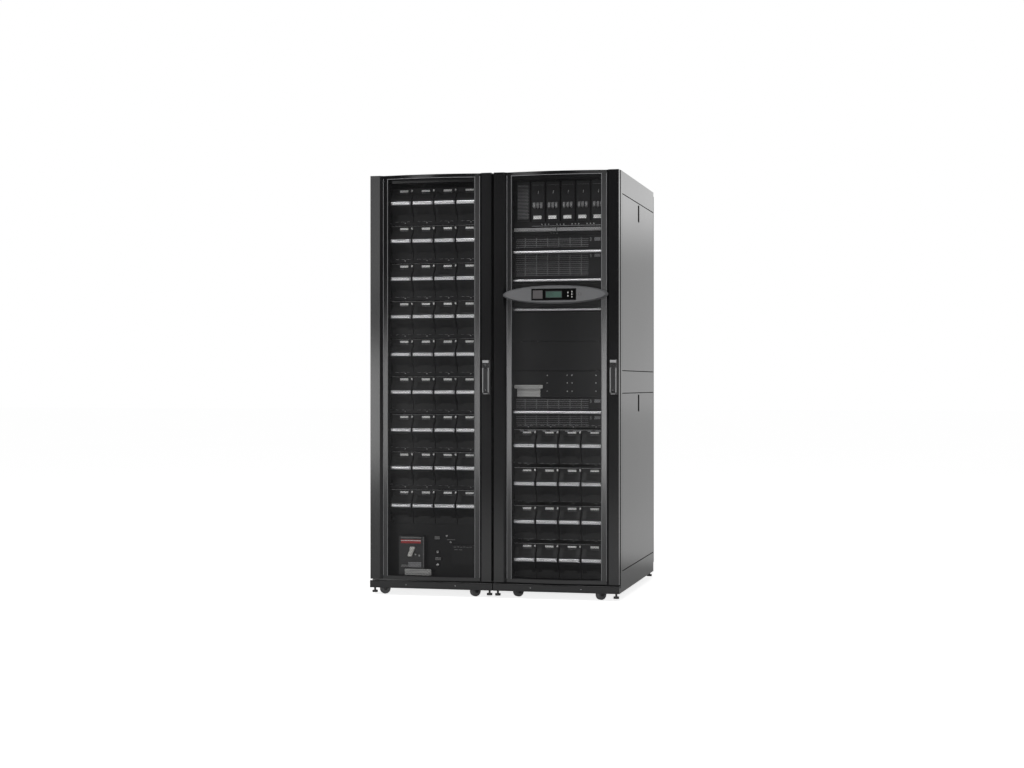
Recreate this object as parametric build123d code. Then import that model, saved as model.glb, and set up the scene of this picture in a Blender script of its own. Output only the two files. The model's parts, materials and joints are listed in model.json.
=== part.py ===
from build123d import *
import math
import os

# Modular power cabinet: two floor-standing enclosures bayed side by side.
# The left one holds battery modules, the right one power, switching and distribution modules.
# Units are millimetres, +Z is up and the front faces -Y.
# The origin is on the floor, under the middle of the whole object.

# Overall size of one enclosure
cabinet_width = 600.0
overall_height = 1991.0
bay_gap = 4.0
door_front_to_rear_door_back = 1070.0
rear_handle_proud = 20.0

# Sheet and section sizes
skin = 2.5
roof_thickness = 3.0
panel_thickness = 4.0
post_size = 40.0
skirt_thickness = 3.0
skirt_top = 60.0

# Heights of the side of the frame
plinth_bottom = 36.0
plinth_top = 70.0
bottom_band_top = 132.0
middle_band_bottom = 961.0
middle_band_top = 1062.0
top_band_height = 100.0
rabbet_width = 12.0
panel_gap = 1.0
panel_rear_margin = 6.0
latch_slot_from_top = 13.0
latch_slot_height = 74.0
latch_slot_width = 16.0
latch_case_depth = 14.0
cross_rail_height = 32.0

# Doors
door_hinge_margin = 6.0
door_margin = 2.0
door_depth = 32.0
door_bottom = 77.0
door_top_gap = 1.0
door_to_frame = 11.0
stile_flat = 47.0
stile_slope = 11.5
strip_width = 25.0
strip_recess = 10.0
strip_fall = 4.0
mesh_crown = 16.0
mesh_setback = 1.0
mesh_thickness = 1.6
mesh_columns = 8
mesh_bar = 9.8
top_rim = 15.0
bottom_rim = 16.0
rim_depth = 16.0

# Hinges
hinge_in_from_edge = 15.0
hinge_in_from_front = 13.0
pin_radius = 4.0
pin_clearance = 0.06
sleeve_radius = 7.0
sleeve_height = 34.0
arm_thickness = 6.0
arm_width = 10.0
notch_margin = 7.0
running_gap = 0.3
lowest_hinge = 240.0
hinge_from_top = 190.0

# Swing handle
handle_width = 30.5
handle_height = 159.0
handle_bottom = 954.0
handle_from_edge = 24.5
handle_depth = 14.0
pocket_width = 21.0
pocket_margin = 4.0
pocket_to_lock = 5.0
pocket_floor = 2.0
lever_side_gap = 1.0
lever_thickness = 9.0
lever_proud = 3.0
lever_pivot_rise = 14.0
lever_pivot_radius = 2.5
lever_pivot_depth = 8.0
lever_boss_radius = 5.0
lever_end_gap = 5.0
lock_radius = 8.0
lock_proud = 3.0
lock_from_top = 22.0

# Display on the right door
display_side_margin = 48.0
display_half_height = 43.0
display_below_module_top = 57.0
display_depth = 22.0
display_bevel = 12.0
display_panel_width = 208.0
display_panel_height = 51.0
display_panel_offset = -4.0
display_panel_inset = 1.5
screen_width = 73.0
screen_height = 27.0
screen_offset = 0.0
button_radius = 4.0
button_proud = 1.5
button_places = ((67.0, 8.0), (67.0, -8.0), (86.0, 12.0), (86.0, 0.0), (86.0, -12.0))
boss_width = 16.0
display_gap = 1.0

# Module bay
face_from_front = 84.0
rail_margin = 40.0
cover_lap = 17.0
cover_thickness = 3.0
rail_clearance = 3.0
rack_flange_thickness = 3.0
rack_web_depth = 45.0
rear_rail_from_front = 800.0
module_depth = 720.0
shelf_thickness = 2.0
shelf_lip = 17.0
shelf_depth = 715.0

# Battery modules
battery_pitch = 107.8
battery_width = 103.5
battery_above_bar = 73.0
battery_below_bar = 84.0
nose_proud = 34.0
nose_half_height = 11.0
nose_rise = 46.0
nose_fall = 50.0
bar_height = 19.0
bar_depth = 12.0
bar_length = 100.5
bar_end_slant = 6.0
left_row_clearance = 6.2
left_row_pitch = 179.6
right_row_clearance = 16.7
right_row_pitch = 177.9

# Wide modules in the right enclosure: bottom, top and bar heights
wide_module_clearance = 1.0
wide_bar_margin = 4.0
wide_bar_height = 14.0
module_gap = 3.0
cover_gap = 4.0
switch_height = 85.0
switch_bar_rise = 9.5
upper_power_height = 130.0
upper_power_bar_rise = 9.0
lower_power_height = 131.0
lower_power_bar_rise = 8.0
blank_panel_height = 272.0
connection_panel_height = 123.0
bypass_height = 136.0
bypass_bar_rise = 71.0

# Distribution section at the top right
tray_height = 68.0
slot_pitch = 71.6
slot_offset = 7.0
slot_module_width = 62.0
slot_height = 185.0
slot_clearance = 6.0
slot_depth = 160.0
slot_proud = 6.0
toggle_rise = 57.0
toggle_height = 32.0
toggle_count = 3
toggle_pitch = 17.0
toggle_width = 12.0
toggle_proud = 14.0
ledge_rise = 27.0
ledge_height = 15.0
ledge_proud = 30.0

# Battery breaker section at the bottom left
breaker_panel_top = 334.0
breaker_left = -168.0
breaker_right = -44.0
breaker_bottom = 95.0
breaker_top = 278.0
breaker_proud = 34.0
breaker_toggle_width = 26.0
breaker_toggle_bottom = 181.0
breaker_toggle_top = 207.0
breaker_toggle_proud = 12.0
connector_x = 15.0
connector_heights = (272.0, 205.0, 177.0, 144.0)
connector_radius = 7.0
connector_proud = 9.0
terminal_from_edge = 41.0
terminal_width = 107.0
terminal_bottom = 148.0
terminal_top = 240.0
terminal_proud = 22.0

# Rating plate in the right enclosure
plate_from_edge = 24.0
plate_width = 135.0
plate_rise = 3.0
plate_web_height = 39.0
plate_flange_height = 17.0
plate_proud = 10.0
plate_step = 12.0

# Casters and levelling feet
wheel_radius = 25.0
wheel_width = 22.0
wheel_round = 4.0
axle_radius = 4.0
axle_clearance = 0.06
trail = 28.0
fork_gap = 1.5
fork_plate = 3.0
fork_boss_radius = 9.0
crown_radius = 20.0
crown_bottom = 55.0
crown_height = 9.0
kingpin_radius = 6.0
caster_plate_bottom = 66.0
caster_plate_size = 62.0
caster_from_side = 78.0
caster_from_front = 85.0
caster_from_rear = 82.0
front_caster_turns = (-63.0, -45.0, 135.0, -43.0)
foot_from_side = 18.0
foot_from_front = 24.0
foot_from_rear = 22.0
foot_block_length = 34.0
foot_block_bottom = 52.0
plinth_lap = 8.0
foot_radius = 13.0
foot_bottom = 12.0
foot_pad_height = 10.0
foot_stem_radius = 5.0
foot_stem_top = 66.0
foot_stem_clearance = 0.1
caster_beam_height = 6.0
caster_beam_depth = 150.0
floor_thickness = 3.0

# Rear doors
rear_door_bottom = 80.0
rear_door_top_gap = 16.0
rear_door_depth = 38.5
rear_leaf_gap = 6.0
rear_leaf_margin = 5.0
rear_field_margin = 34.0
rear_field_recess = 8.0
rear_handle_width = 28.0

# Roof openings for cables
roof_slot_width = 300.0
roof_slot_depth = 80.0
roof_slot_from_rear = 155.0

# Places that follow from the sizes above
door_width = cabinet_width - door_margin - door_hinge_margin
door_top = overall_height - door_top_gap
display_half_width = door_width / 2 - display_side_margin
bay_half_width = (cabinet_width - bay_gap / 2) / 2 - post_size - rail_margin
cover_half_width = bay_half_width + cover_lap
rack_flange_inner = bay_half_width + rail_clearance
wide_module_width = 2 * (bay_half_width - wide_module_clearance)
wide_bar_length = wide_module_width - 2 * wide_bar_margin
battery_count = int(2 * bay_half_width / battery_pitch)
slot_count = int(2 * bay_half_width / slot_pitch)
mesh_front_crown = strip_recess + mesh_setback - mesh_crown
display_proud = display_depth + button_proud + display_gap - mesh_front_crown
door_front_y = -(door_front_to_rear_door_back + rear_handle_proud - display_proud) / 2
frame_front_y = door_front_y + door_depth + door_to_frame
rear_door_back_y = door_front_y + door_front_to_rear_door_back
frame_rear_y = rear_door_back_y - rear_door_depth
frame_top = overall_height - roof_thickness
top_band_bottom = frame_top - top_band_height
rear_door_top = frame_top - rear_door_top_gap
slot_top = frame_top - cross_rail_height - slot_clearance
slot_bottom = slot_top - slot_height
tray_top = slot_bottom
tray_bottom = tray_top - tray_height
switch_top = tray_bottom - module_gap
upper_power_top = switch_top - switch_height - module_gap
lower_power_top = upper_power_top - upper_power_height - module_gap
blank_panel_top = lower_power_top - lower_power_height - cover_gap
connection_panel_top = blank_panel_top - blank_panel_height - cover_gap
bypass_top = connection_panel_top - connection_panel_height - cover_gap
connection_panel_bottom = connection_panel_top - connection_panel_height
bypass_bottom = bypass_top - bypass_height
display_z = lower_power_top - display_below_module_top
toggle_bottom = slot_bottom + toggle_rise
ledge_z = tray_bottom + ledge_rise
lock_z = handle_bottom + handle_height - lock_from_top
pocket_bottom = handle_bottom + pocket_margin
pocket_top = lock_z - lock_radius - pocket_to_lock
lever_pivot_z = pocket_bottom + lever_pivot_rise
lever_top = pocket_top - lever_end_gap
floor_bottom = plinth_top + caster_beam_height
floor_top = floor_bottom + floor_thickness
face_y = door_front_y + face_from_front
mesh_half_width = door_width / 2 - stile_flat - stile_slope - strip_width
post_rabbet_y = frame_front_y + post_size
cover_front_y = face_y - rack_flange_thickness - cover_thickness
lever_pivot_y = door_front_y - lever_pivot_depth
display_back_y = door_front_y + mesh_front_crown - display_gap
caster_plate_top = plinth_top
left_last_bar_z = breaker_panel_top + left_row_clearance + battery_below_bar
left_row_space = frame_top - cross_rail_height - battery_above_bar - left_last_bar_z
left_row_count = int(left_row_space / left_row_pitch) + 1
right_last_bar_z = floor_top + right_row_clearance + battery_below_bar
right_row_space = bypass_bottom - battery_above_bar - right_last_bar_z
right_row_count = int(right_row_space / right_row_pitch) + 1


def box(x0, x1, y0, y1, z0, z1):
    """A block between two corners."""
    return Pos(min(x0, x1), min(y0, y1), min(z0, z1)) * Box(
        abs(x1 - x0), abs(y1 - y0), abs(z1 - z0), align=(Align.MIN, Align.MIN, Align.MIN)
    )


def upright(x, y, z0, z1, radius):
    """A vertical round bar."""
    return Pos(x, y, (z0 + z1) / 2) * Cylinder(radius, z1 - z0)


def along_x(x0, x1, y, z, radius):
    """A round bar along X."""
    return Pos((x0 + x1) / 2, y, z) * Rot(0, 90, 0) * Cylinder(radius, x1 - x0)


def along_y(x, y0, y1, z, radius):
    """A round bar along Y."""
    return Pos(x, (y0 + y1) / 2, z) * Rot(90, 0, 0) * Cylinder(radius, y1 - y0)


def prism_x(points, x0, x1):
    """A closed outline of (y, z) points, extruded along X."""
    outline = Plane.YZ * Polyline(*points, close=True)
    return Pos(x0, 0, 0) * extrude(make_face(outline), x1 - x0, dir=(1, 0, 0))


def prism_z(points, z0, z1):
    """A closed outline of (x, y) points, extruded upwards."""
    outline = Polyline(*points, close=True)
    return Pos(0, 0, z0) * extrude(make_face(outline), z1 - z0, dir=(0, 0, 1))


def solids_of(shapes):
    """One compound of separate solids."""
    return Compound(children=[s for shape in shapes for s in shape.solids()])


def cabinet_centre(side):
    """The X of a cabinet's middle; side is -1 for the left one and 1 for the right one."""
    return side * (cabinet_width + bay_gap / 2) / 2


def half_opening():
    """Half the clear width between a frame's two sides."""
    return (cabinet_width - bay_gap / 2) / 2 - post_size


def hinge_heights():
    """The heights of a front door's three hinges."""
    highest = door_top - hinge_from_top
    return (lowest_hinge, (lowest_hinge + highest) / 2, highest)


def door_centre(side):
    return side * (cabinet_width - door_margin - door_width / 2)


# Frame

def frame_sides():
    """Each side of the two frames as (outer face x, direction inwards, whether it carries side panels)."""
    sides = []
    for side in (-1, 1):
        sides.append((side * cabinet_width, -side, True))
        sides.append((side * bay_gap / 2, side, False))
    return sides


def without_rabbets(made, outer_x, inward):
    """A member of an outer side, cut back where the side panels lie in it."""
    for low, high in ((bottom_band_top, middle_band_bottom), (middle_band_top, top_band_bottom)):
        made -= box(
            outer_x, outer_x + inward * panel_thickness,
            post_rabbet_y, frame_rear_y - panel_rear_margin, low, high,
        )
    return made


def frame_posts():
    """The corner posts, with blind holes under the rear ones for the feet."""
    made = []
    for outer_x, inward, panelled in frame_sides():
        x_in = outer_x + inward * post_size
        foot_x = outer_x + inward * foot_from_side
        foot_y = frame_rear_y - foot_from_rear
        front = box(outer_x, x_in, frame_front_y, post_rabbet_y + rabbet_width, skirt_top, frame_top)
        rear = box(outer_x, x_in, frame_rear_y - post_size, frame_rear_y, skirt_top, frame_top)
        rear -= upright(foot_x, foot_y, skirt_top, foot_stem_top + 1, foot_stem_radius + foot_stem_clearance)
        for post in (front, rear):
            made.append(without_rabbets(post, outer_x, inward) if panelled else post)
    return solids_of(made)


def frame_bands():
    """Three bands between the posts of each side."""
    made = []
    levels = (
        (skirt_top, bottom_band_top + rabbet_width),
        (middle_band_bottom - rabbet_width, middle_band_top + rabbet_width),
        (top_band_bottom - rabbet_width, frame_top),
    )
    for outer_x, inward, panelled in frame_sides():
        for low, high in levels:
            band = box(
                outer_x, outer_x + inward * post_size,
                post_rabbet_y + rabbet_width, frame_rear_y - post_size, low, high,
            )
            made.append(without_rabbets(band, outer_x, inward) if panelled else band)
    return solids_of(made)


def cross_members():
    """Top rails and caster beams from side to side of each frame."""
    made = []
    for side in (-1, 1):
        centre = cabinet_centre(side)
        reach = half_opening()
        for y0 in (frame_front_y, frame_rear_y - post_size):
            made.append(box(
                centre - reach, centre + reach, y0, y0 + post_size, frame_top - cross_rail_height, frame_top
            ))
        for y0, y1 in (
            (frame_front_y, frame_front_y + caster_beam_depth),
            (frame_rear_y - caster_beam_depth, frame_rear_y),
        ):
            made.append(box(centre - reach, centre + reach, y0, y1, plinth_top, floor_bottom))
    return solids_of(made)


def plinth(side):
    """The folded kick plate in front of a frame, with blocks at its ends for the front feet."""
    left_x = min(side * cabinet_width, side * bay_gap / 2)
    right_x = max(side * cabinet_width, side * bay_gap / 2)
    centre = cabinet_centre(side)
    made = box(left_x, right_x, door_front_y, door_front_y + skin, plinth_bottom, plinth_top)
    made += box(left_x, right_x, door_front_y, frame_front_y, plinth_top - skin, plinth_top)
    made += box(
        centre - half_opening(), centre + half_opening(), frame_front_y - skin, frame_front_y + plinth_lap,
        plinth_top - skin, plinth_top,
    )
    for x0, x1 in (
        (left_x + skirt_thickness, left_x + foot_block_length),
        (right_x - foot_block_length, right_x - skirt_thickness),
    ):
        made += box(x0, x1, door_front_y, frame_front_y, foot_block_bottom, plinth_top)
    for x, y in feet_places(side)[:2]:
        made -= upright(x, y, plinth_bottom, foot_stem_top + 1, foot_stem_radius + foot_stem_clearance)
    return made


def side_skirts():
    """Thin skirts below the frames' sides."""
    made = []
    for outer_x, inward, panelled in frame_sides():
        made.append(box(
            outer_x, outer_x + inward * skirt_thickness,
            door_front_y + skin, frame_rear_y, plinth_bottom, skirt_top,
        ))
    return solids_of(made)


def feet_places(side):
    """The (x, y) of one enclosure's four levelling feet."""
    centre = cabinet_centre(side)
    reach = half_opening() + post_size - foot_from_side
    front = door_front_y + foot_from_front
    rear = frame_rear_y - foot_from_rear
    return [(centre + s * reach, y) for y in (front, rear) for s in (-1, 1)]


def levelling_feet():
    made = []
    for side in (-1, 1):
        for x, y in feet_places(side):
            pad = upright(x, y, foot_bottom, foot_bottom + foot_pad_height, foot_radius)
            stem = upright(x, y, foot_bottom + foot_pad_height, foot_stem_top, foot_stem_radius)
            made.append(pad + stem)
    return solids_of(made)


def joining_strips():
    """Strips that close the gap between the two frames, front and rear."""
    return solids_of([
        box(-bay_gap / 2, bay_gap / 2, y0, y0 + post_size, skirt_top, frame_top)
        for y0 in (frame_front_y, frame_rear_y - post_size)
    ])


def rear_slot(side, low, high):
    """The cable slot near the rear, cut through the roof and the floor."""
    centre = cabinet_centre(side)
    slot_y = frame_rear_y - roof_slot_from_rear
    return box(
        centre - roof_slot_width / 2, centre + roof_slot_width / 2, slot_y - roof_slot_depth, slot_y, low, high
    )


def floor_plates():
    """Floors on the caster beams, between the frames' sides."""
    made = []
    for side in (-1, 1):
        centre = cabinet_centre(side)
        reach = half_opening()
        plate = box(centre - reach, centre + reach, frame_front_y, frame_rear_y, floor_bottom, floor_top)
        made.append(plate - rear_slot(side, floor_bottom, floor_top))
    return solids_of(made)


def roofs():
    """Roof plates with a rear cable slot each."""
    made = []
    for side in (-1, 1):
        plate = box(side * cabinet_width, side * bay_gap / 2, frame_front_y, frame_rear_y, frame_top, overall_height)
        made.append(plate - rear_slot(side, frame_top, overall_height))
    return solids_of(made)


def side_panels():
    """Upper and lower lift-off panels on the two outer sides, each with a latch slot near its top."""
    made = []
    y0 = post_rabbet_y + panel_gap
    y1 = frame_rear_y - panel_rear_margin - panel_gap
    slot_y = (y0 + y1) / 2
    for side in (-1, 1):
        outer = side * cabinet_width
        for low, high in ((bottom_band_top, middle_band_bottom), (middle_band_top, top_band_bottom)):
            panel = box(outer, outer - side * panel_thickness, y0, y1, low + panel_gap, high - panel_gap)
            slot_top = high - latch_slot_from_top
            panel -= box(
                outer, outer - side * panel_thickness,
                slot_y - latch_slot_width / 2, slot_y + latch_slot_width / 2,
                slot_top - latch_slot_height, slot_top,
            )
            made.append(panel)
    return solids_of(made)


def panel_latches():
    """Latch tongues seen in the side panels' slots."""
    made = []
    y0 = post_rabbet_y + panel_gap
    y1 = frame_rear_y - panel_rear_margin - panel_gap
    slot_y = (y0 + y1) / 2
    for side in (-1, 1):
        outer = side * cabinet_width
        for high in (middle_band_bottom, top_band_bottom):
            slot_top = high - latch_slot_from_top
            made.append(box(
                outer - side * panel_thickness, outer - side * (panel_thickness + latch_case_depth),
                slot_y - latch_slot_width, slot_y + latch_slot_width,
                slot_top - latch_slot_height - latch_slot_width, slot_top,
            ))
    return solids_of(made)


# Rear doors

def rear_leaf(x0, x1):
    """One leaf of a split rear door: a tray with a sunken perforated field and a return flange."""
    leaf = box(x0, x1, frame_rear_y, rear_door_back_y, rear_door_bottom, rear_door_top)
    leaf -= box(
        x0 + skin, x1 - skin, frame_rear_y, rear_door_back_y - skin - rear_field_recess,
        rear_door_bottom + skin, rear_door_top - skin,
    )
    leaf -= box(
        x0 + rear_field_margin, x1 - rear_field_margin, rear_door_back_y - rear_field_recess, rear_door_back_y,
        rear_door_bottom + rear_field_margin, rear_door_top - rear_field_margin,
    )
    return leaf


def rear_doors():
    made = []
    for side in (-1, 1):
        centre = cabinet_centre(side)
        reach = cabinet_width / 2 - rear_leaf_margin
        made.append(rear_leaf(centre - reach, centre - rear_leaf_gap / 2))
        made.append(rear_leaf(centre + rear_leaf_gap / 2, centre + reach))
    return solids_of(made)


def rear_handles():
    """A grip on the right-hand leaf of each rear door."""
    made = []
    for side in (-1, 1):
        x = cabinet_centre(side) + rear_leaf_gap / 2 + rear_field_margin / 2
        base = box(
            x - rear_handle_width / 2, x + rear_handle_width / 2,
            rear_door_back_y, rear_door_back_y + rear_handle_proud / 2, handle_bottom, handle_bottom + handle_height,
        )
        grip = box(
            x - rear_handle_width / 4, x + rear_handle_width / 4,
            rear_door_back_y + rear_handle_proud / 2, rear_door_back_y + rear_handle_proud,
            pocket_bottom, pocket_top,
        )
        made.append(base + grip)
    return solids_of(made)


# Front doors

def stile_outline(width, mirror):
    """The folded sheet of one stile in plan, as (x, y) points from the door's edge at x = 0.

    The strip beside the mesh leans back from it, as the bow of the mesh carried on."""
    slope_back = stile_flat + stile_slope
    inner = slope_back + strip_width
    lean = skin * 0.4
    points = [
        (0, door_depth), (0, 0), (stile_flat, 0), (slope_back, strip_recess + strip_fall), (inner, strip_recess),
        (inner, strip_recess + rim_depth), (inner - skin, strip_recess + rim_depth),
        (inner - skin, strip_recess + skin), (slope_back - lean, strip_recess + strip_fall + skin),
        (stile_flat - lean, skin), (skin, skin), (skin, door_depth),
    ]
    placed = [(x, door_front_y + y) for x, y in points]
    return [(width - x, y) for x, y in placed] if mirror else placed


def stile_cap_outline(width, mirror):
    """The plan of the plate that closes a stile's end."""
    slope_back = stile_flat + stile_slope
    inner = slope_back + strip_width
    points = [
        (0, door_depth), (0, 0), (stile_flat, 0), (slope_back, strip_recess + strip_fall), (inner, strip_recess),
        (inner, strip_recess + rim_depth), (inner, door_depth),
    ]
    placed = [(x, door_front_y + y) for x, y in points]
    return [(width - x, y) for x, y in placed] if mirror else placed


def mesh_arc_plan(x_middle, recess, depth):
    """A plan face between the bowed front line, set back by recess, and depth behind it."""
    left = (x_middle - mesh_half_width, door_front_y + strip_recess + recess)
    right = (x_middle + mesh_half_width, left[1])
    crown = (x_middle, left[1] - mesh_crown)
    front = ThreePointArc(left, crown, right)
    back = ThreePointArc((right[0], right[1] + depth), (x_middle, crown[1] + depth), (left[0], left[1] + depth))
    sides = [Line(right, (right[0], right[1] + depth)), Line((left[0], left[1] + depth), left)]
    return make_face([front, sides[0], back, sides[1]])


def door_frame(side):
    """One front door's frame: two folded stiles, the rims above and below the mesh, and the hinge sleeves."""
    x_left = door_centre(side) - door_width / 2
    made = None
    for mirror in (False, True):
        stile = prism_z(stile_outline(door_width, mirror), door_bottom, door_top)
        cap = stile_cap_outline(door_width, mirror)
        stile += prism_z(cap, door_bottom, door_bottom + skin)
        stile += prism_z(cap, door_top - skin, door_top)
        made = stile if made is None else made + stile
    for z0, height in ((door_bottom, bottom_rim), (door_top - top_rim, top_rim)):
        rim = extrude(mesh_arc_plan(door_width / 2, 0, rim_depth), height, dir=(0, 0, 1))
        made += Pos(0, 0, z0) * rim
    axis_y = door_front_y + hinge_in_from_front
    for z in hinge_heights():
        made -= box(
            -1, skin + 1, door_front_y + skin, door_front_y + door_depth + 1,
            z - arm_thickness - notch_margin, z + sleeve_height + notch_margin,
        )
        sleeve = upright(hinge_in_from_edge, axis_y, z + running_gap, z + sleeve_height, sleeve_radius)
        sleeve += box(
            hinge_in_from_edge - sleeve_radius / 2, hinge_in_from_edge + sleeve_radius / 2,
            door_front_y + skin, axis_y, z + running_gap, z + sleeve_height,
        )
        sleeve -= upright(hinge_in_from_edge, axis_y, z, z + sleeve_height, pin_radius + pin_clearance)
        made += sleeve
    return Pos(x_left, 0, 0) * made


def door_mesh(side):
    """The bowed sheet between the door's rims, with a plain grid of openings in place of its fine holes."""
    low = door_bottom + bottom_rim
    height = door_top - top_rim - low
    sheet = extrude(mesh_arc_plan(door_centre(side), mesh_setback, mesh_thickness), height, dir=(0, 0, 1))
    step_x = (2 * mesh_half_width - mesh_bar) / mesh_columns
    rows = round((height - mesh_bar) / step_x)
    step_z = (height - mesh_bar) / rows
    windows = []
    for i in range(mesh_columns):
        x0 = door_centre(side) - mesh_half_width + mesh_bar + i * step_x
        for j in range(rows):
            z0 = mesh_bar + j * step_z
            windows.append(box(
                x0, x0 + step_x - mesh_bar, door_front_y - mesh_crown, door_front_y + door_depth,
                z0, z0 + step_z - mesh_bar,
            ))
    return Pos(0, 0, low) * (sheet - windows)


def hinge_arms():
    """Brackets on the frame's front posts with the pins that the doors turn on."""
    made = []
    for side in (-1, 1):
        x = door_centre(side) - door_width / 2 + hinge_in_from_edge
        y = door_front_y + hinge_in_from_front
        for z in hinge_heights():
            arm = box(x, x + arm_width, y, frame_front_y, z - arm_thickness, z)
            arm += upright(x, y, z - arm_thickness, z, sleeve_radius - 1)
            arm += upright(x, y, z, z + sleeve_height - 2, pin_radius)
            made.append(arm)
    return solids_of(made)


def handle_centre(side):
    return door_centre(side) + door_width / 2 - handle_from_edge


def handle_base(side):
    """The handle's dish on the stile, with its lock and the lever's pivot pin."""
    x = handle_centre(side)
    front = door_front_y - handle_depth
    made = box(
        x - handle_width / 2, x + handle_width / 2, front, door_front_y, handle_bottom, handle_bottom + handle_height
    )
    made -= box(
        x - pocket_width / 2, x + pocket_width / 2, front, door_front_y - pocket_floor, pocket_bottom, pocket_top
    )
    made += along_y(x, front - lock_proud, front, lock_z, lock_radius)
    made += along_x(
        x - pocket_width / 2 - 1, x + pocket_width / 2 + 1, lever_pivot_y, lever_pivot_z, lever_pivot_radius
    )
    return made


def handle_lever(side):
    """The lever that lies in the dish and swings out about a pin at its lower end."""
    x = handle_centre(side)
    half = pocket_width / 2 - lever_side_gap
    front = door_front_y - handle_depth - lever_proud
    made = box(x - half, x + half, front, front + lever_thickness, lever_pivot_z, lever_top)
    made += along_x(x - half, x + half, lever_pivot_y, lever_pivot_z, lever_boss_radius)
    made -= along_x(x - half, x + half, lever_pivot_y, lever_pivot_z, lever_pivot_radius + pin_clearance)
    return made


# Display

def ellipse_at(y, half_width, half_height):
    """An upright elliptical face in the plane y, around the display's centre."""
    plane = Plane(origin=(door_centre(1), y, display_z), x_dir=(1, 0, 0), z_dir=(0, -1, 0))
    return plane * Ellipse(half_width, half_height)


def display_housing():
    """The eye-shaped housing that bridges the right door's mesh, on two bosses."""
    back = display_back_y
    front = back - display_depth
    shoulder = front + display_bevel
    made = extrude(ellipse_at(back, display_half_width, display_half_height), display_depth - display_bevel)
    made += loft([
        ellipse_at(shoulder, display_half_width, display_half_height),
        ellipse_at(front, display_half_width - display_bevel, display_half_height - display_bevel / 2),
    ])
    x = door_centre(1)
    panel_x = x + display_panel_offset
    made -= box(
        panel_x - display_panel_width / 2, panel_x + display_panel_width / 2, front, front + display_panel_inset,
        display_z - display_panel_height / 2, display_z + display_panel_height / 2,
    )
    margin = (strip_width - boss_width) / 2
    for s in (-1, 1):
        boss = []
        for out in (margin, margin + boss_width):
            strip_y = door_front_y + strip_recess + strip_fall * out / strip_width
            boss.append((x + s * (mesh_half_width + out), strip_y))
        boss += [(boss[1][0], back - 1), (boss[0][0], back - 1)]
        made += prism_z(boss, display_z - boss_width / 2, display_z + boss_width / 2)
    return made


def display_panel():
    """The dark panel let into the housing, with a window for the screen."""
    x = door_centre(1) + display_panel_offset
    front = display_back_y - display_depth
    made = box(
        x - display_panel_width / 2, x + display_panel_width / 2, front, front + display_panel_inset,
        display_z - display_panel_height / 2, display_z + display_panel_height / 2,
    )
    made -= box(
        x + screen_offset - screen_width / 2, x + screen_offset + screen_width / 2, front,
        front + display_panel_inset, display_z - screen_height / 2, display_z + screen_height / 2,
    )
    return made


def display_screen():
    x = door_centre(1) + display_panel_offset + screen_offset
    front = display_back_y - display_depth
    return box(
        x - screen_width / 2, x + screen_width / 2, front + 0.5, front + display_panel_inset,
        display_z - screen_height / 2, display_z + screen_height / 2,
    )


def display_buttons():
    x = door_centre(1) + display_panel_offset
    front = display_back_y - display_depth
    return solids_of([
        along_y(x + dx, front - button_proud, front, display_z + dz, button_radius) for dx, dz in button_places
    ])


# Rack rails and shelves

def rack_rails():
    """Upright mounting rails, front and rear, standing on the floor plates against the frame's sides."""
    made = []
    for side in (-1, 1):
        centre = cabinet_centre(side)
        for s in (-1, 1):
            wall = centre + s * half_opening()
            edge = centre + s * rack_flange_inner
            for y, turn in ((face_y, 1), (door_front_y + rear_rail_from_front, -1)):
                rail = box(
                    edge, wall, y, y - turn * rack_flange_thickness, floor_top, frame_top - cross_rail_height
                )
                rail += box(
                    wall, wall - s * rack_flange_thickness, y, y + turn * rack_web_depth,
                    floor_top, frame_top - cross_rail_height,
                )
                made.append(rail)
    return solids_of(made)


def row_heights(last, pitch, count):
    return [last + i * pitch for i in range(count)]


left_rows = row_heights(left_last_bar_z, left_row_pitch, left_row_count)
right_rows = row_heights(right_last_bar_z, right_row_pitch, right_row_count)
wide_modules = (
    (switch_top - switch_height, switch_top, switch_top - switch_height + switch_bar_rise),
    (
        upper_power_top - upper_power_height, upper_power_top,
        upper_power_top - upper_power_height + upper_power_bar_rise,
    ),
    (
        lower_power_top - lower_power_height, lower_power_top,
        lower_power_top - lower_power_height + lower_power_bar_rise,
    ),
    (bypass_bottom, bypass_top, bypass_bottom + bypass_bar_rise),
)


def shelf(side, top_z, lip):
    """A sheet shelf between the rack rails' webs, with a front lip that hangs in front of its edge."""
    centre = cabinet_centre(side)
    reach = half_opening() - rack_flange_thickness
    made = box(centre - reach, centre + reach, face_y, face_y + shelf_depth, top_z - shelf_thickness, top_z)
    if lip:
        made += box(
            centre - bay_half_width, centre + bay_half_width,
            face_y - rack_flange_thickness, face_y, top_z - lip, top_z,
        )
    return made


def shelves():
    """Every shelf; the battery rows of the left enclosure have lips."""
    made = [shelf(-1, z - battery_below_bar, shelf_lip) for z in left_rows]
    levels = [z - battery_below_bar for z in right_rows]
    levels += [low for low, high, bar in wide_modules]
    levels.append(tray_bottom)
    made += [shelf(1, z, 0) for z in levels]
    return solids_of(made)


# Battery modules

def battery_module(x, bar_z):
    """A battery cassette: a long box whose face comes forward to a ridge that carries the pull bar."""
    points = [
        (face_y, bar_z + battery_above_bar), (face_y, bar_z + nose_rise),
        (face_y - nose_proud + 3, bar_z + nose_half_height + 6), (face_y - nose_proud, bar_z + nose_half_height),
        (face_y - nose_proud, bar_z - nose_half_height), (face_y - nose_proud + 3, bar_z - nose_half_height - 6),
        (face_y, bar_z - nose_fall), (face_y, bar_z - battery_below_bar),
        (face_y + module_depth, bar_z - battery_below_bar), (face_y + module_depth, bar_z + battery_above_bar),
    ]
    return prism_x(points, x - battery_width / 2, x + battery_width / 2)


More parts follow.
